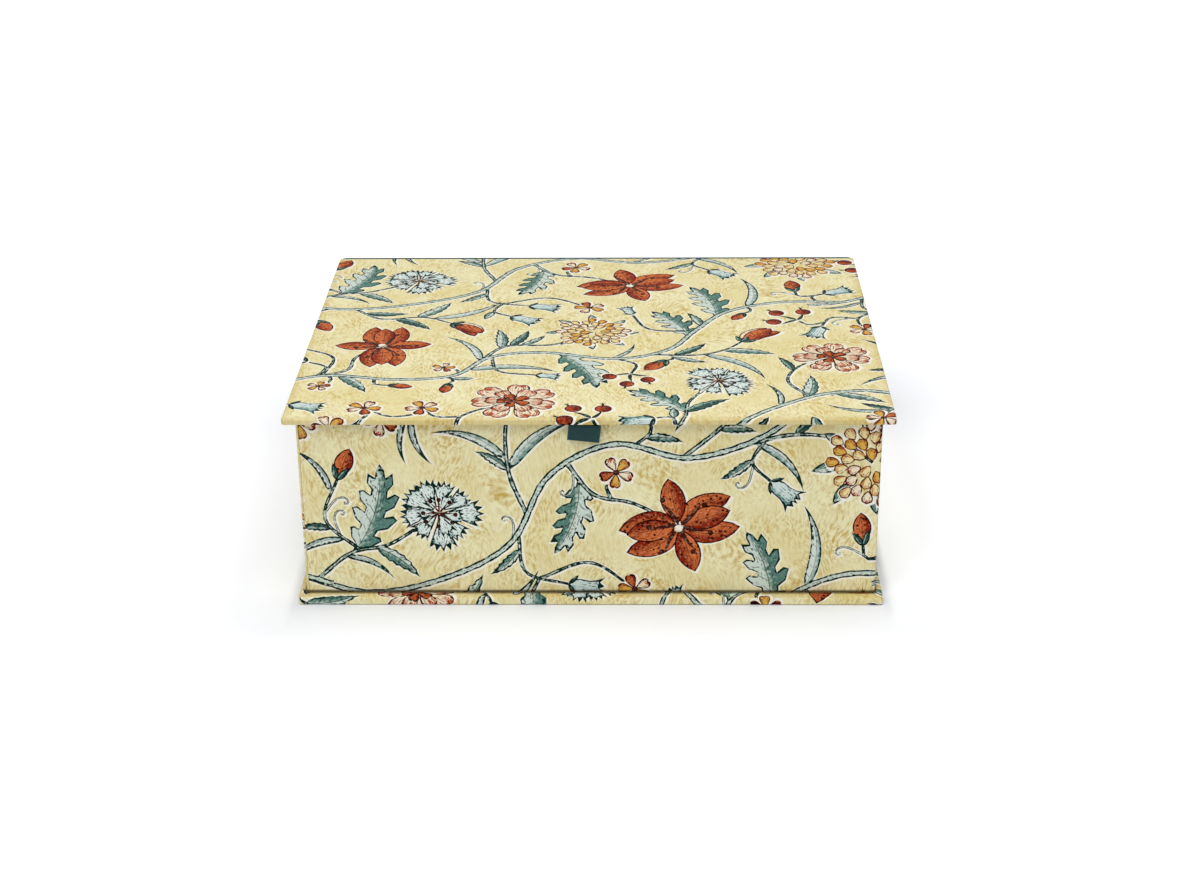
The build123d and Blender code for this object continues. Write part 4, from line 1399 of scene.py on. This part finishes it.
def twill_ribbon():
    """Cotton twill ribbon, dyed dark teal.

    The diagonal ribs are in the mesh, so the material has only the threads: a fine fuzz,
    paler rib tops, and small rubbed spots where fingers pull it. A near-black band along
    its top is painted shade, where it goes in under the lid's edge.
    """
    material, tree, shader = new_material("cotton twill ribbon")
    place = add(tree, "TexCoord").outputs["Object"]
    rib = add(tree, "Attribute", attribute_name="rib height")
    fuzz = add(tree, "TexNoise", place, 2600.0, 3.0)
    rub = add(tree, "TexNoise", place, 210.0, 2.0)
    tone = add(tree, "Math", fuzz, 0.6, rib.outputs["Fac"], operation="MULTIPLY_ADD")
    tone = add(tree, "MapRange", tone, 0.2, 1.2)
    dyed = add(tree, "Mix", tone, linear("#081619"), linear("#2A4C4D"), data_type="RGBA")
    rubbed = add(tree, "MapRange", rub, 0.68, 0.76, 0.0, 0.5)
    dyed = add(tree, "Mix", rubbed, dyed, linear("#5E7A74"), data_type="RGBA")
    high = add(tree, "SeparateXYZ", place).outputs["Z"]
    # painted shade: the ribbon darkens to near black over its top 1.6 mm, under the lid's edge
    top_shade = add(tree, "MapRange", high, (loop_high[2] - 1.6) * MM, (loop_high[2] - 0.2) * MM, 0.0, 0.75)
    dyed = add(tree, "Mix", top_shade, dyed, linear("#060D0E"), data_type="RGBA")
    bump = add(tree, "Bump", {"Strength": 0.4, "Distance": 0.00005, "Height": fuzz})
    feed(tree, shader, {"Base Color": dyed, "Normal": bump, "Roughness": 0.85, "Specular IOR Level": 0.25,
                        "Sheen Weight": 0.08, "Sheen Roughness": 0.4})
    return material


def laid_paper():
    """Ivory laid paper for the linings.

    Formed on a wire mould: laid lines 1.1 mm apart, chain lines 25 mm apart, and cloudy
    fibre between them. Matt, and a little yellow with age.
    """
    material, tree, shader = new_material("ivory laid paper")
    place = add(tree, "TexCoord").outputs["Object"]
    laid = add(tree, "TexWave", place, WAVE_REPEAT / (1.1 * MM), 0.3, 1.0, bands_direction="X")
    chain = add(tree, "TexWave", place, WAVE_REPEAT / (25 * MM), 0.2, bands_direction="Y")
    chain = add(tree, "MapRange", chain.outputs["Fac"], 0.985, 1.0, 0.0, 0.15)
    fibre = add(tree, "TexNoise", place, 420.0, 5.0)
    cloud = add(tree, "TexNoise", place, 45.0, 4.0)
    height = add(tree, "Math", laid.outputs["Fac"], 0.35, fibre, operation="MULTIPLY_ADD")
    height = add(tree, "Math", height, chain, operation="SUBTRACT")
    tone = add(tree, "MapRange", height, 0.2, 1.0)
    sheet = add(tree, "Mix", tone, linear("#DDD0AC"), linear("#EFE6CB"), data_type="RGBA")
    aged = add(tree, "MapRange", cloud, 0.4, 0.75, 0.0, 0.3)
    sheet = add(tree, "Mix", aged, sheet, linear("#E2D2A4"), data_type="RGBA")
    bump = add(tree, "Bump", {"Strength": 0.35, "Distance": 0.00006, "Height": height})
    feed(tree, shader, {"Base Color": sheet, "Normal": bump, "Roughness": 0.85})
    return material


def greyboard():
    """Greyboard, pressed from waste paper.

    Grey-brown with specks of old print and short fibres, and layered at a cut edge.
    """
    material, tree, shader = new_material("greyboard")
    place = add(tree, "TexCoord").outputs["Object"]
    pulp = add(tree, "TexNoise", place, 700.0, 5.0)
    specks = add(tree, "TexVoronoi", place, 520.0)
    specks = add(tree, "MapRange", specks.outputs["Distance"], 0.08, 0.16, 0.7, 0.0)
    ply = add(tree, "TexWave", place, WAVE_REPEAT / (0.6 * MM), 3.0, 2.0, bands_direction="Z")
    board = add(tree, "Mix", pulp, linear("#8D857A"), linear("#B3ABA0"), data_type="RGBA")
    board = add(tree, "Mix", specks, board, linear("#5F5A55"), data_type="RGBA")
    height = add(tree, "Math", ply.outputs["Fac"], 0.3, pulp, operation="MULTIPLY_ADD")
    bump = add(tree, "Bump", {"Strength": 0.4, "Distance": 0.0001, "Height": height})
    feed(tree, shader, {"Base Color": board, "Normal": bump, "Roughness": 0.95})
    return material


def gummed_tape():
    """Gummed kraft tape: unbleached brown paper with long fibres and a faint gloss of glue."""
    material, tree, shader = new_material("gummed kraft tape")
    place = add(tree, "TexCoord").outputs["Object"]
    grain = add(tree, "Mapping", {"Vector": place, "Scale": (1.0, 1.0, 0.15)})
    fibre = add(tree, "TexNoise", grain, 1500.0, 4.0)
    kraft = add(tree, "Mix", fibre, linear("#A07F55"), linear("#C3A277"), data_type="RGBA")
    bump = add(tree, "Bump", {"Strength": 0.3, "Distance": 0.00005, "Height": fibre})
    feed(tree, shader, {"Base Color": kraft, "Normal": bump, "Roughness": 0.6})
    return material


# Hinge cloth, inner hinge and ribbon

JOINT_BEND = 0.05  # half the height over which the hinge cloth bends, either side of its line
JOINT_GROOVE = 0.25  # how far the cloth is rubbed into the joint
CLOTH_LAP = 16.0
CLOTH_BODY = 0.3  # thickness drawn
PASTE = 0.02  # between the cloth and its board
STRIP = 0.25  # thickness of the inner hinge, as in the CAD
STRIP_BODY = 0.22  # thickness drawn
# half widths of the inner hinge, which narrows on its way into the tray
STRIP_ON_LID = 119.3
STRIP_ON_SPINE = 117.3
STRIP_IN_TRAY = 112.3


def outline_row(half, radius, inset, side_front):
    """Points of a board's outline seen from above, from the left side round the back to the right."""
    reach_x = half - inset
    r = radius - inset
    middle_x, middle_y = half - radius, BACK - radius
    row = [(-reach_x, y) for y in np.linspace(side_front, middle_y, 6)]
    turns = np.linspace(0, math.pi / 2, 7)
    row += [(-middle_x - r * math.cos(a), middle_y + r * math.sin(a)) for a in turns[1:]]
    row += [(x, BACK - inset) for x in np.linspace(-middle_x, middle_x, 25)[1:-1]]
    row += [(middle_x + r * math.sin(a), middle_y + r * math.cos(a)) for a in turns]
    row += [(reach_x, y) for y in np.linspace(middle_y, side_front, 6)[1:]]
    return row


def thicken(obj, thickness, offset):
    """Give a sheet its thickness, in millimetres."""
    solid = obj.modifiers.new("thickness", "SOLIDIFY")
    solid.thickness = thickness * MM
    solid.offset = offset
    obj.data = evaluated(obj)
    obj.data.name = obj.name
    obj.modifiers.clear()


def skin_of_rows(name, rows, thickness, faces_up, material, skip=()):
    """Sheet through rows of points, closed with a thickness inside its outer face.

    The first row's faces look up or down. skip lists (row, first, last) stretches between a
    row and the next that are left open.
    """
    width = len(rows[0])
    points = [tuple(np.array(p) * MM) for row in rows for p in row]
    faces = []
    for r in range(len(rows) - 1):
        for i in range(width - 1):
            if any(r == line and first <= i < last for line, first, last in skip):
                continue
            a = r * width + i
            faces.append((a, a + width, a + width + 1, a + 1))
    mesh = bpy.data.meshes.new(name)
    mesh.from_pydata(points, [], faces)
    work = bmesh.new()
    work.from_mesh(mesh)
    bmesh.ops.remove_doubles(work, verts=work.verts, dist=1e-6)
    bmesh.ops.dissolve_degenerate(work, edges=work.edges, dist=1e-7)
    loose = [v for v in work.verts if not v.link_faces]
    bmesh.ops.delete(work, geom=loose, context="VERTS")
    work.normal_update()
    work.faces.ensure_lookup_table()
    if (work.faces[0].normal.z > 0) != faces_up:
        bmesh.ops.reverse_faces(work, faces=work.faces)
    work.to_mesh(mesh)
    work.free()
    piece = put(bpy.data.objects.new(name, mesh))
    thicken(piece, thickness, -1.0)
    piece.data.materials.append(material)
    return piece


def hinge_cloth(material):
    """One cloth from the lid's top, down the spine and under the base."""
    lid_half, lid_round = LID_HALF - PAPER, LID_BACK_ROUND - PAPER
    base_half, base_round = BASE_HALF - PAPER, BASE_BACK_ROUND - PAPER
    edge = EDGE_ROUND - PAPER
    lap_front = BACK - CLOTH_LAP
    top, foot = LID_TOP - PAPER - PASTE, PAPER + PASTE
    spine_front = BACK - SPINE_DEPTH
    lap_steps = (CLOTH_LAP, 8.0, 2.0, 1.0)  # rows of the lap, in from the board's back
    joint_steps = (1.2, 0.8, 0.5, 0.25, JOINT_BEND)  # rows of the joint, away from its line

    def lap(half, radius, height, insets):
        row = outline_row(half, radius, edge, lap_front)
        return [[(x, min(y, BACK - inset), height) for x, y in row] for inset in insets]

    def rounding(half, radius, inset, height):
        return [(x, y, height) for x, y in outline_row(half, radius, inset, lap_front)]

    def wall(half, radius, z, side_front):
        groove = JOINT_GROOVE * math.exp(-((z - HINGE_LINE) / 0.55) ** 2)
        return [(x, y - (groove if y > BACK - radius else 0.0), z)
                for x, y in outline_row(half, radius, 0.0, side_front)]

    turns = [math.pi / 2 * i / 5 for i in range(6)]
    rows = lap(lid_half, lid_round, top, lap_steps)
    rows += [rounding(lid_half, lid_round, edge * (1 - math.sin(a)), top - edge * (1 - math.cos(a)))
             for a in turns]
    rows += [wall(lid_half, lid_round, HINGE_LINE + step, lap_front) for step in joint_steps]
    open_row = len(rows) - 1
    rows += [wall(base_half, base_round, HINGE_LINE - step, spine_front)
             for step in joint_steps[::-1] + (6, 20, 40, 60)]
    rows.append(wall(base_half, base_round, BASE_TOP + 0.3, spine_front))
    rows.append(wall(base_half, base_round, BASE_TOP - 0.2, lap_front))
    rows += [rounding(base_half, base_round, edge * (1 - math.cos(a)), foot + edge * (1 - math.sin(a)))
             for a in turns]
    rows += lap(base_half, base_round, foot, lap_steps[::-1])
    width = len(rows[0])
    return skin_of_rows("hinge_cloth", rows, CLOTH_BODY, True, material,
                        [(open_row, 0, 12), (open_row, width - 13, width)])


def inner_hinge(material):
    """Thin cloth from the lid's lining, folded at the joint, over the rim and down inside."""
    lid_z, tray_z = LID_FACE, RIM + STRIP
    bend = (lid_z - tray_z) / 2
    middle_z = (lid_z + tray_z) / 2
    fold_y = BACK - CLOTH - 0.3
    inside = BACK - SPINE_DEPTH - RIM_WIDTH
    down_y = inside - STRIP
    path = [(BACK - STRIP_LAP, lid_z, STRIP_ON_LID), (BACK - 9, lid_z, STRIP_ON_LID),
            (fold_y - 0.6, lid_z, STRIP_ON_LID - 0.1), (fold_y, lid_z, 118.6)]
    path += [(fold_y + bend * math.sin(a), middle_z + bend * math.cos(a), 118.0)
             for a in np.linspace(0, math.pi, 7)[1:-1]]
    path += [(fold_y, tray_z, STRIP_ON_SPINE), (BACK - 2.75, tray_z, STRIP_ON_SPINE),
             (BACK - 3.1, tray_z, 115.1), (inside + 0.3, tray_z, 114.9)]
    path += [(inside + 0.3 - 0.55 * math.sin(a), tray_z - 0.55 + 0.55 * math.cos(a), 112.6)
             for a in np.linspace(0, math.pi / 2, 5)[1:]]
    path += [(down_y, RIM - down, STRIP_IN_TRAY) for down in (4, 8, 12)]
    rows = [[(x, y, z) for x in np.linspace(half, -half, 25)] for y, z, half in path]
    return skin_of_rows("inner_hinge", rows, STRIP_BODY, False, material)


RIBBON_WIDTH = 12.7
RIBBON_THICK = 0.25
RIBBON_RIB = 0.6  # from one twill rib to the next
RIBBON_RELIEF = 0.05
RIBBON_SKEW = math.radians(6.0)
RIBBON_LOOP = 0.375  # radius of the fold, to the middle of the ribbon


def ribbon_tree():
    """Tree that lays a ribbed band along the fold line, skewed where it is glued."""
    tree, start, end = new_tree("ribbon along its fold", [
        ("Width", "NodeSocketFloat"), ("Straight", "NodeSocketFloat"), ("Fold", "NodeSocketFloat"),
        ("Skew", "NodeSocketFloat"), ("Rib Spacing", "NodeSocketFloat"), ("Relief", "NodeSocketFloat"),
        ("Lead", "NodeSocketFloat"), ("Cloth", "NodeSocketMaterial")])
    grid = add(tree, "GeometryNodeMeshGrid", {"Size X": 1.0, "Size Y": 1.0, "Vertices X": 108,
               "Vertices Y": 128})
    x, y, _ = add(tree, "SeparateXYZ", add(tree, "GeometryNodeInputPosition")).outputs
    across = add(tree, "Math", x, start.outputs["Width"], operation="MULTIPLY")
    slope = add(tree, "Math", start.outputs["Skew"], operation="TANGENT")
    high = add(tree, "Math", across, slope, operation="MULTIPLY")
    down = add(tree, "Math", start.outputs["Straight"], high, operation="SUBTRACT")
    length = add(tree, "Math", down, 2.0, start.outputs["Fold"], operation="MULTIPLY_ADD")
    share = add(tree, "Math", y, 0.5, operation="ADD")
    run = add(tree, "Math", length, share, high, operation="MULTIPLY_ADD")
    run_on_line = add(tree, "Math", run, start.outputs["Lead"], operation="ADD")
    line = add(tree, "GeometryNodeSampleCurve", {"Curves": start.outputs["Geometry"],
               "Length": run_on_line}, mode="LENGTH", use_all_curves=True)
    face = add(tree, "VectorMath", line.outputs["Tangent"], (1, 0, 0), operation="CROSS_PRODUCT")
    wave = add(tree, "Math", across, run, operation="ADD")
    pitch = add(tree, "Math", start.outputs["Rib Spacing"], math.sqrt(2.0) / (2 * math.pi),
                operation="MULTIPLY")
    wave = add(tree, "Math", wave, pitch, operation="DIVIDE")
    wave = add(tree, "Math", wave, operation="SINE")
    rib = add(tree, "MapRange", wave, -1.0, 1.0)
    off_edge = add(tree, "Math", x, operation="ABSOLUTE")
    selvedge = add(tree, "MapRange", off_edge, 0.445, 0.47, 0.0, 1.0)
    ridge = add(tree, "Math", rib, selvedge, operation="MAXIMUM")
    lift = add(tree, "Math", ridge, start.outputs["Relief"], operation="MULTIPLY")
    lift = add(tree, "VectorMath", face, lift, operation="SCALE")
    side = add(tree, "CombineXYZ", across)
    spot = add(tree, "VectorMath", line.outputs["Position"], side, operation="ADD")
    spot = add(tree, "VectorMath", spot, lift, operation="ADD")
    band = add(tree, "GeometryNodeStoreNamedAttribute", {"Geometry": grid, "Name": "rib height",
               "Value": ridge})
    band = add(tree, "GeometryNodeSetPosition", {"Geometry": band, "Position": spot})
    finish_tree(tree, band, start.outputs["Cloth"], end)
    return tree


def pull_ribbon(material):
    """Loop of twill ribbon under the lid's front edge."""
    top = loop_high[2]
    middle_y = (loop_low[1] + loop_high[1]) / 2
    fold_z = loop_low[2] + 0.5
    lead = 2.0  # length of the line above the lid's edge
    line = [(middle_y - RIBBON_LOOP, top + lead), (middle_y - RIBBON_LOOP, fold_z)]
    line += [(middle_y - RIBBON_LOOP * math.cos(a), fold_z - RIBBON_LOOP * math.sin(a))
             for a in np.linspace(0, math.pi, 17)[1:-1]]
    line += [(middle_y + RIBBON_LOOP, fold_z), (middle_y + RIBBON_LOOP, top + lead)]
    holder = lines_object("ribbon fold", [[(0, y, z, 1.0) for y, z in line]])
    mesh = run_tree(holder, ribbon_tree(), {
        "Width": RIBBON_WIDTH, "Straight": top - fold_z, "Fold": math.pi * RIBBON_LOOP, "Skew": RIBBON_SKEW,
        "Rib Spacing": RIBBON_RIB, "Relief": RIBBON_RELIEF, "Lead": lead, "Cloth": material})
    bpy.data.objects.remove(holder)
    turn = Matrix.Rotation(RIBBON_SKEW, 4, "Y")
    pivot = Matrix.Translation((0, 0, top))
    settle = Matrix.Translation((RIBBON_MIDDLE, 0, 0)) @ pivot @ turn @ pivot.inverted()
    mesh.transform(Matrix.Scale(MM, 4) @ settle)
    piece = put(bpy.data.objects.new("ribbon_loop", mesh))
    thicken(piece, RIBBON_THICK - RIBBON_RELIEF, 0.0)
    return piece


# Camera, light and floor

# as fitted to the photograph: place in metres, turns, and focal length in mm
CAMERA_PLACE = (0.018826, -0.861683, 0.420233)
CAMERA_DOWN = math.radians(24.385)
CAMERA_LEFT = math.radians(1.067)
CAMERA_ROLL = math.radians(-0.467)
FOCAL_LENGTH = 64.73


def set_camera():
    """Camera at the photograph's place, a little above the box and almost square on."""
    down, aside = CAMERA_DOWN, -CAMERA_LEFT
    ahead = Vector((math.sin(aside) * math.cos(down), math.cos(aside) * math.cos(down), -math.sin(down)))
    right = Vector((math.cos(aside), -math.sin(aside), 0.0))
    up = right.cross(ahead)
    rolled = right * math.cos(CAMERA_ROLL) + up * math.sin(CAMERA_ROLL)
    upright = up * math.cos(CAMERA_ROLL) - right * math.sin(CAMERA_ROLL)
    turn = Matrix((rolled, upright, -ahead)).transposed()
    data = bpy.data.cameras.new("camera")
    data.sensor_fit = "HORIZONTAL"
    data.sensor_width = 36.0
    data.lens = FOCAL_LENGTH
    data.clip_start = 0.01
    camera = put(bpy.data.objects.new("camera", data))
    camera.matrix_world = Matrix.Translation(CAMERA_PLACE) @ turn.to_4x4()
    bpy.context.scene.camera = camera


def area_light(name, place, aim, size, power):
    """Softbox turned to a point."""
    data = bpy.data.lights.new(name, "AREA")
    data.shape = "RECTANGLE"
    data.size, data.size_y = size
    data.energy = power
    lamp = put(bpy.data.objects.new(name, data))
    lamp.location = place
    lamp.rotation_euler = (Vector(aim) - Vector(place)).to_track_quat("-Z", "Y").to_euler()


SWEEP_HALF = 4.0  # metres
GLOW_RANGE = 800  # mm that the ramps of the floor's glow span
SHARE_RANGE = 400  # mm that the ramp of its shares spans, the box's middle at half
# painted light: glow of the floor to the camera at distances in mm from the box, and more of it at the
# sides, which paints how the box's shadow fades out
FLOOR_GLOW = ((0, 0.0), (2, 0.0), (4.5, 0.045), (8, 0.065), (12.5, 0.087), (17.5, 0.102), (25, 0.12),
              (40, 0.18), (100, 0.34), (800, 1.0))
SIDE_GLOW = ((0, 0.0), (3, 0.42), (7, 0.34), (11, 0.31), (16, 0.26), (22, 0.18), (35, 0.10), (60, 0.04))
# share of the side glow at places in mm from the box's front to its back, on its left and on its right
SIDE_SHARES = ((-115, 0.0, 0.0), (-82, 0.5, 0.52), (-65, 0.45, 0.62), (-45, 0.42, 0.78), (-20, 0.41, 0.92),
               (10, 0.41, 1.0), (60, 0.45, 1.0), (90, 0.2, 0.6), (115, 0.0, 0.15), (150, 0.0, 0.0))


def set_floor():
    """White sweep, matt so that the box's shadow lies on it. To the camera it glows white, but this glow is
    painted light that is nil at the box and grows away from it, so it paints how the shadow fades out.
    """
    material, tree, shader = new_material("white paper sweep")
    place = add(tree, "TexCoord").outputs["Object"]
    x, y, _ = add(tree, "SeparateXYZ", place).outputs
    on_right = add(tree, "Math", x, 0.0, operation="GREATER_THAN")
    along = add(tree, "MapRange", y, -SHARE_RANGE / 2 * MM, SHARE_RANGE / 2 * MM)
    along = add(tree, "ValToRGB", along)
    left_share, right_share, _ = add(tree, "SeparateColor", along).outputs
    share = add(tree, "Mix", on_right, left_share, right_share)
    far = add(tree, "VectorMath", place, operation="ABSOLUTE")
    far = add(tree, "VectorMath", far, (LID_HALF * MM, BACK * MM, 0), operation="SUBTRACT")
    far = add(tree, "VectorMath", far, (0, 0, 0), operation="MAXIMUM")
    beside = add(tree, "Math", add(tree, "SeparateXYZ", far), GLOW_RANGE * MM, operation="DIVIDE")
    beside = add(tree, "ValToRGB", beside)
    beside_glow = add(tree, "Math", beside, share, operation="MULTIPLY")
    far = add(tree, "VectorMath", far, operation="LENGTH")
    far = add(tree, "Math", far, GLOW_RANGE * MM, operation="DIVIDE")
    far = add(tree, "ValToRGB", far)
    ramps = (
        (far, [(at / GLOW_RANGE, (glow, glow, glow, 1.0)) for at, glow in FLOOR_GLOW]),
        (beside, [(at / GLOW_RANGE, (glow, glow, glow, 1.0)) for at, glow in SIDE_GLOW]),
        (along, [(at / SHARE_RANGE + 0.5, (left, right, 0.0, 1.0)) for at, left, right in SIDE_SHARES]),
    )
    for ramp, stops in ramps:
        while len(ramp.color_ramp.elements) < len(stops):
            ramp.color_ramp.elements.new(1.0)
        for element, (position, colour) in zip(ramp.color_ramp.elements, stops):
            element.position = position
            element.color = colour
    far = add(tree, "Math", far, beside_glow, operation="ADD", use_clamp=True)
    # painted light: the floor glows to camera rays only, by the ramps above
    seen = add(tree, "LightPath").outputs["Is Camera Ray"]
    glow = add(tree, "Math", seen, far, operation="MULTIPLY")
    matt = add(tree, "BsdfDiffuse", linear("#F2F4F8"))
    lit = add(tree, "Emission", {"Strength": glow})
    both = add(tree, "AddShader", matt, lit)
    feed(tree, tree.nodes["Material Output"], {"Surface": both})
    tree.nodes.remove(shader)
    mesh = bpy.data.meshes.new("sweep")
    corners = ((-1, -1), (1, -1), (1, 1), (-1, 1))
    mesh.from_pydata([(x * SWEEP_HALF, y * SWEEP_HALF, 0) for x, y in corners], [], [(0, 1, 2, 3)])
    mesh.materials.append(material)
    floor = put(bpy.data.objects.new("sweep", mesh))


def set_light():
    """White world, dimmer on the box than to the camera and in its glosses, and two softboxes."""
    world = bpy.data.worlds.new("studio")
    world.use_nodes = True
    tree = world.node_tree
    tree.nodes.clear()
    ray = add(tree, "LightPath").outputs
    soft = add(tree, "Background", linear("#FFFFFF"), 0.25)
    white = add(tree, "Background", linear("#FFFFFF"), 1.0)
    seen = add(tree, "Math", ray["Is Camera Ray"], ray["Is Glossy Ray"], operation="MAXIMUM")
    seen = add(tree, "Math", seen, ray["Is Transmission Ray"], operation="MAXIMUM")
    add(tree, "OutputWorld", add(tree, "MixShader", seen, soft, white))
    bpy.context.scene.world = world
    area_light("overhead softbox", (0.1, -0.1, 1.5), (0, 0, 0), (1.6, 1.2), 12.4)
    area_light("front softbox", (-0.3, -1.25, 1.45), (0, 0, 0.04), (1.2, 0.9), 14.0)


set_camera()
set_floor()
set_light()

paper = printed_paper()
print_parts = laid_stems(paper) + laid_drawings(paper)

lid_cover = BoardCover(LID_HALF, LID_TOP, LID_TOP - LID_FACE, LID_FRONT_ROUND, LID_BACK_ROUND,
                       BACK - STRIP_LAP, 1, LID_CLOTH_SHOW)
base_cover = BoardCover(BASE_HALF, 0.0, BASE_TOP, BASE_FRONT_ROUND, BASE_BACK_ROUND,
                        BACK - SPINE_DEPTH, -1, CLOTH_SHOW)
tray_cover = TrayCover()

# the ribbon's ends come up through the lid's front turn-in
gap_near, gap_far = (
    FRONT + EDGE_ROUND - lid_cover.fold_end + FOLD_ROUND - (y - FRONT) for y in (tail_low[1], tail_high[1]))
ribbon_gap = [(tail_low[0], gap_near), (tail_low[0], gap_far),
              (tail_high[0], gap_far), (tail_high[0], gap_near)]

# where each sheet was cut from the repeat, in mm
LID_SHIFT, BASE_SHIFT, TRAY_SHIFT = (-140.0, -178.0), (-60.0, -150.0), (-6.0, -4.0)
lid_paper = print_sheet("lid_printed_paper", lid_cover, LID_SHIFT, print_parts, paper, [ribbon_gap])
base_paper = print_sheet("base_printed_paper", base_cover, BASE_SHIFT, print_parts, paper)
tray_paper = print_sheet("tray_printed_paper", tray_cover, TRAY_SHIFT, print_parts, paper)
for sheet_piece, body, node in (
    (lid_paper, "lid", "lid_cover_paper"),
    (base_paper, "case", "base_cover_paper"),
    (tray_paper, "case", "tray_cover_paper"),
):
    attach(sheet_piece, body)
    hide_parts(node)

cloth = book_cloth()
twill = twill_ribbon()
lining = laid_paper()
board = greyboard()
tape = gummed_tape()
NODE_FINISHES = (
    (board, ("lid_board", "base_board", "spine_board", "tray_left_wall", "tray_right_wall",
             "tray_front_wall", "tray_back_wall", "tray_floor")),
    (tape, ("corner_tapes",)),
    (lining, ("lid_lining", "tray_floor_lining", "tray_front_lining", "tray_back_lining", "tray_left_lining",
              "tray_right_lining")),
    (twill, ("ribbon_ends", "pull_ribbon")),
    (cloth, ("spine_cloth", "lid_hinge_cloth", "lid_inner_hinge", "tray_inner_hinge")),
    (paper, ("lid_cover_paper", "base_cover_paper", "tray_cover_paper")),
)
for finish, nodes in NODE_FINISHES:
    for node in nodes:
        surface = bpy.data.objects[node]
        surface.data.materials.clear()
        surface.data.materials.append(finish)

outer_cloth = hinge_cloth(cloth)
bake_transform(outer_cloth)
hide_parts("spine_cloth", "lid_hinge_cloth")

inner_cloth = inner_hinge(cloth)
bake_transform(inner_cloth)
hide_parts("lid_inner_hinge", "tray_inner_hinge")

ribbon = pull_ribbon(twill)
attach(ribbon, "ribbon")
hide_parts("pull_ribbon")

bpy.context.scene.view_settings.view_transform = "Standard"
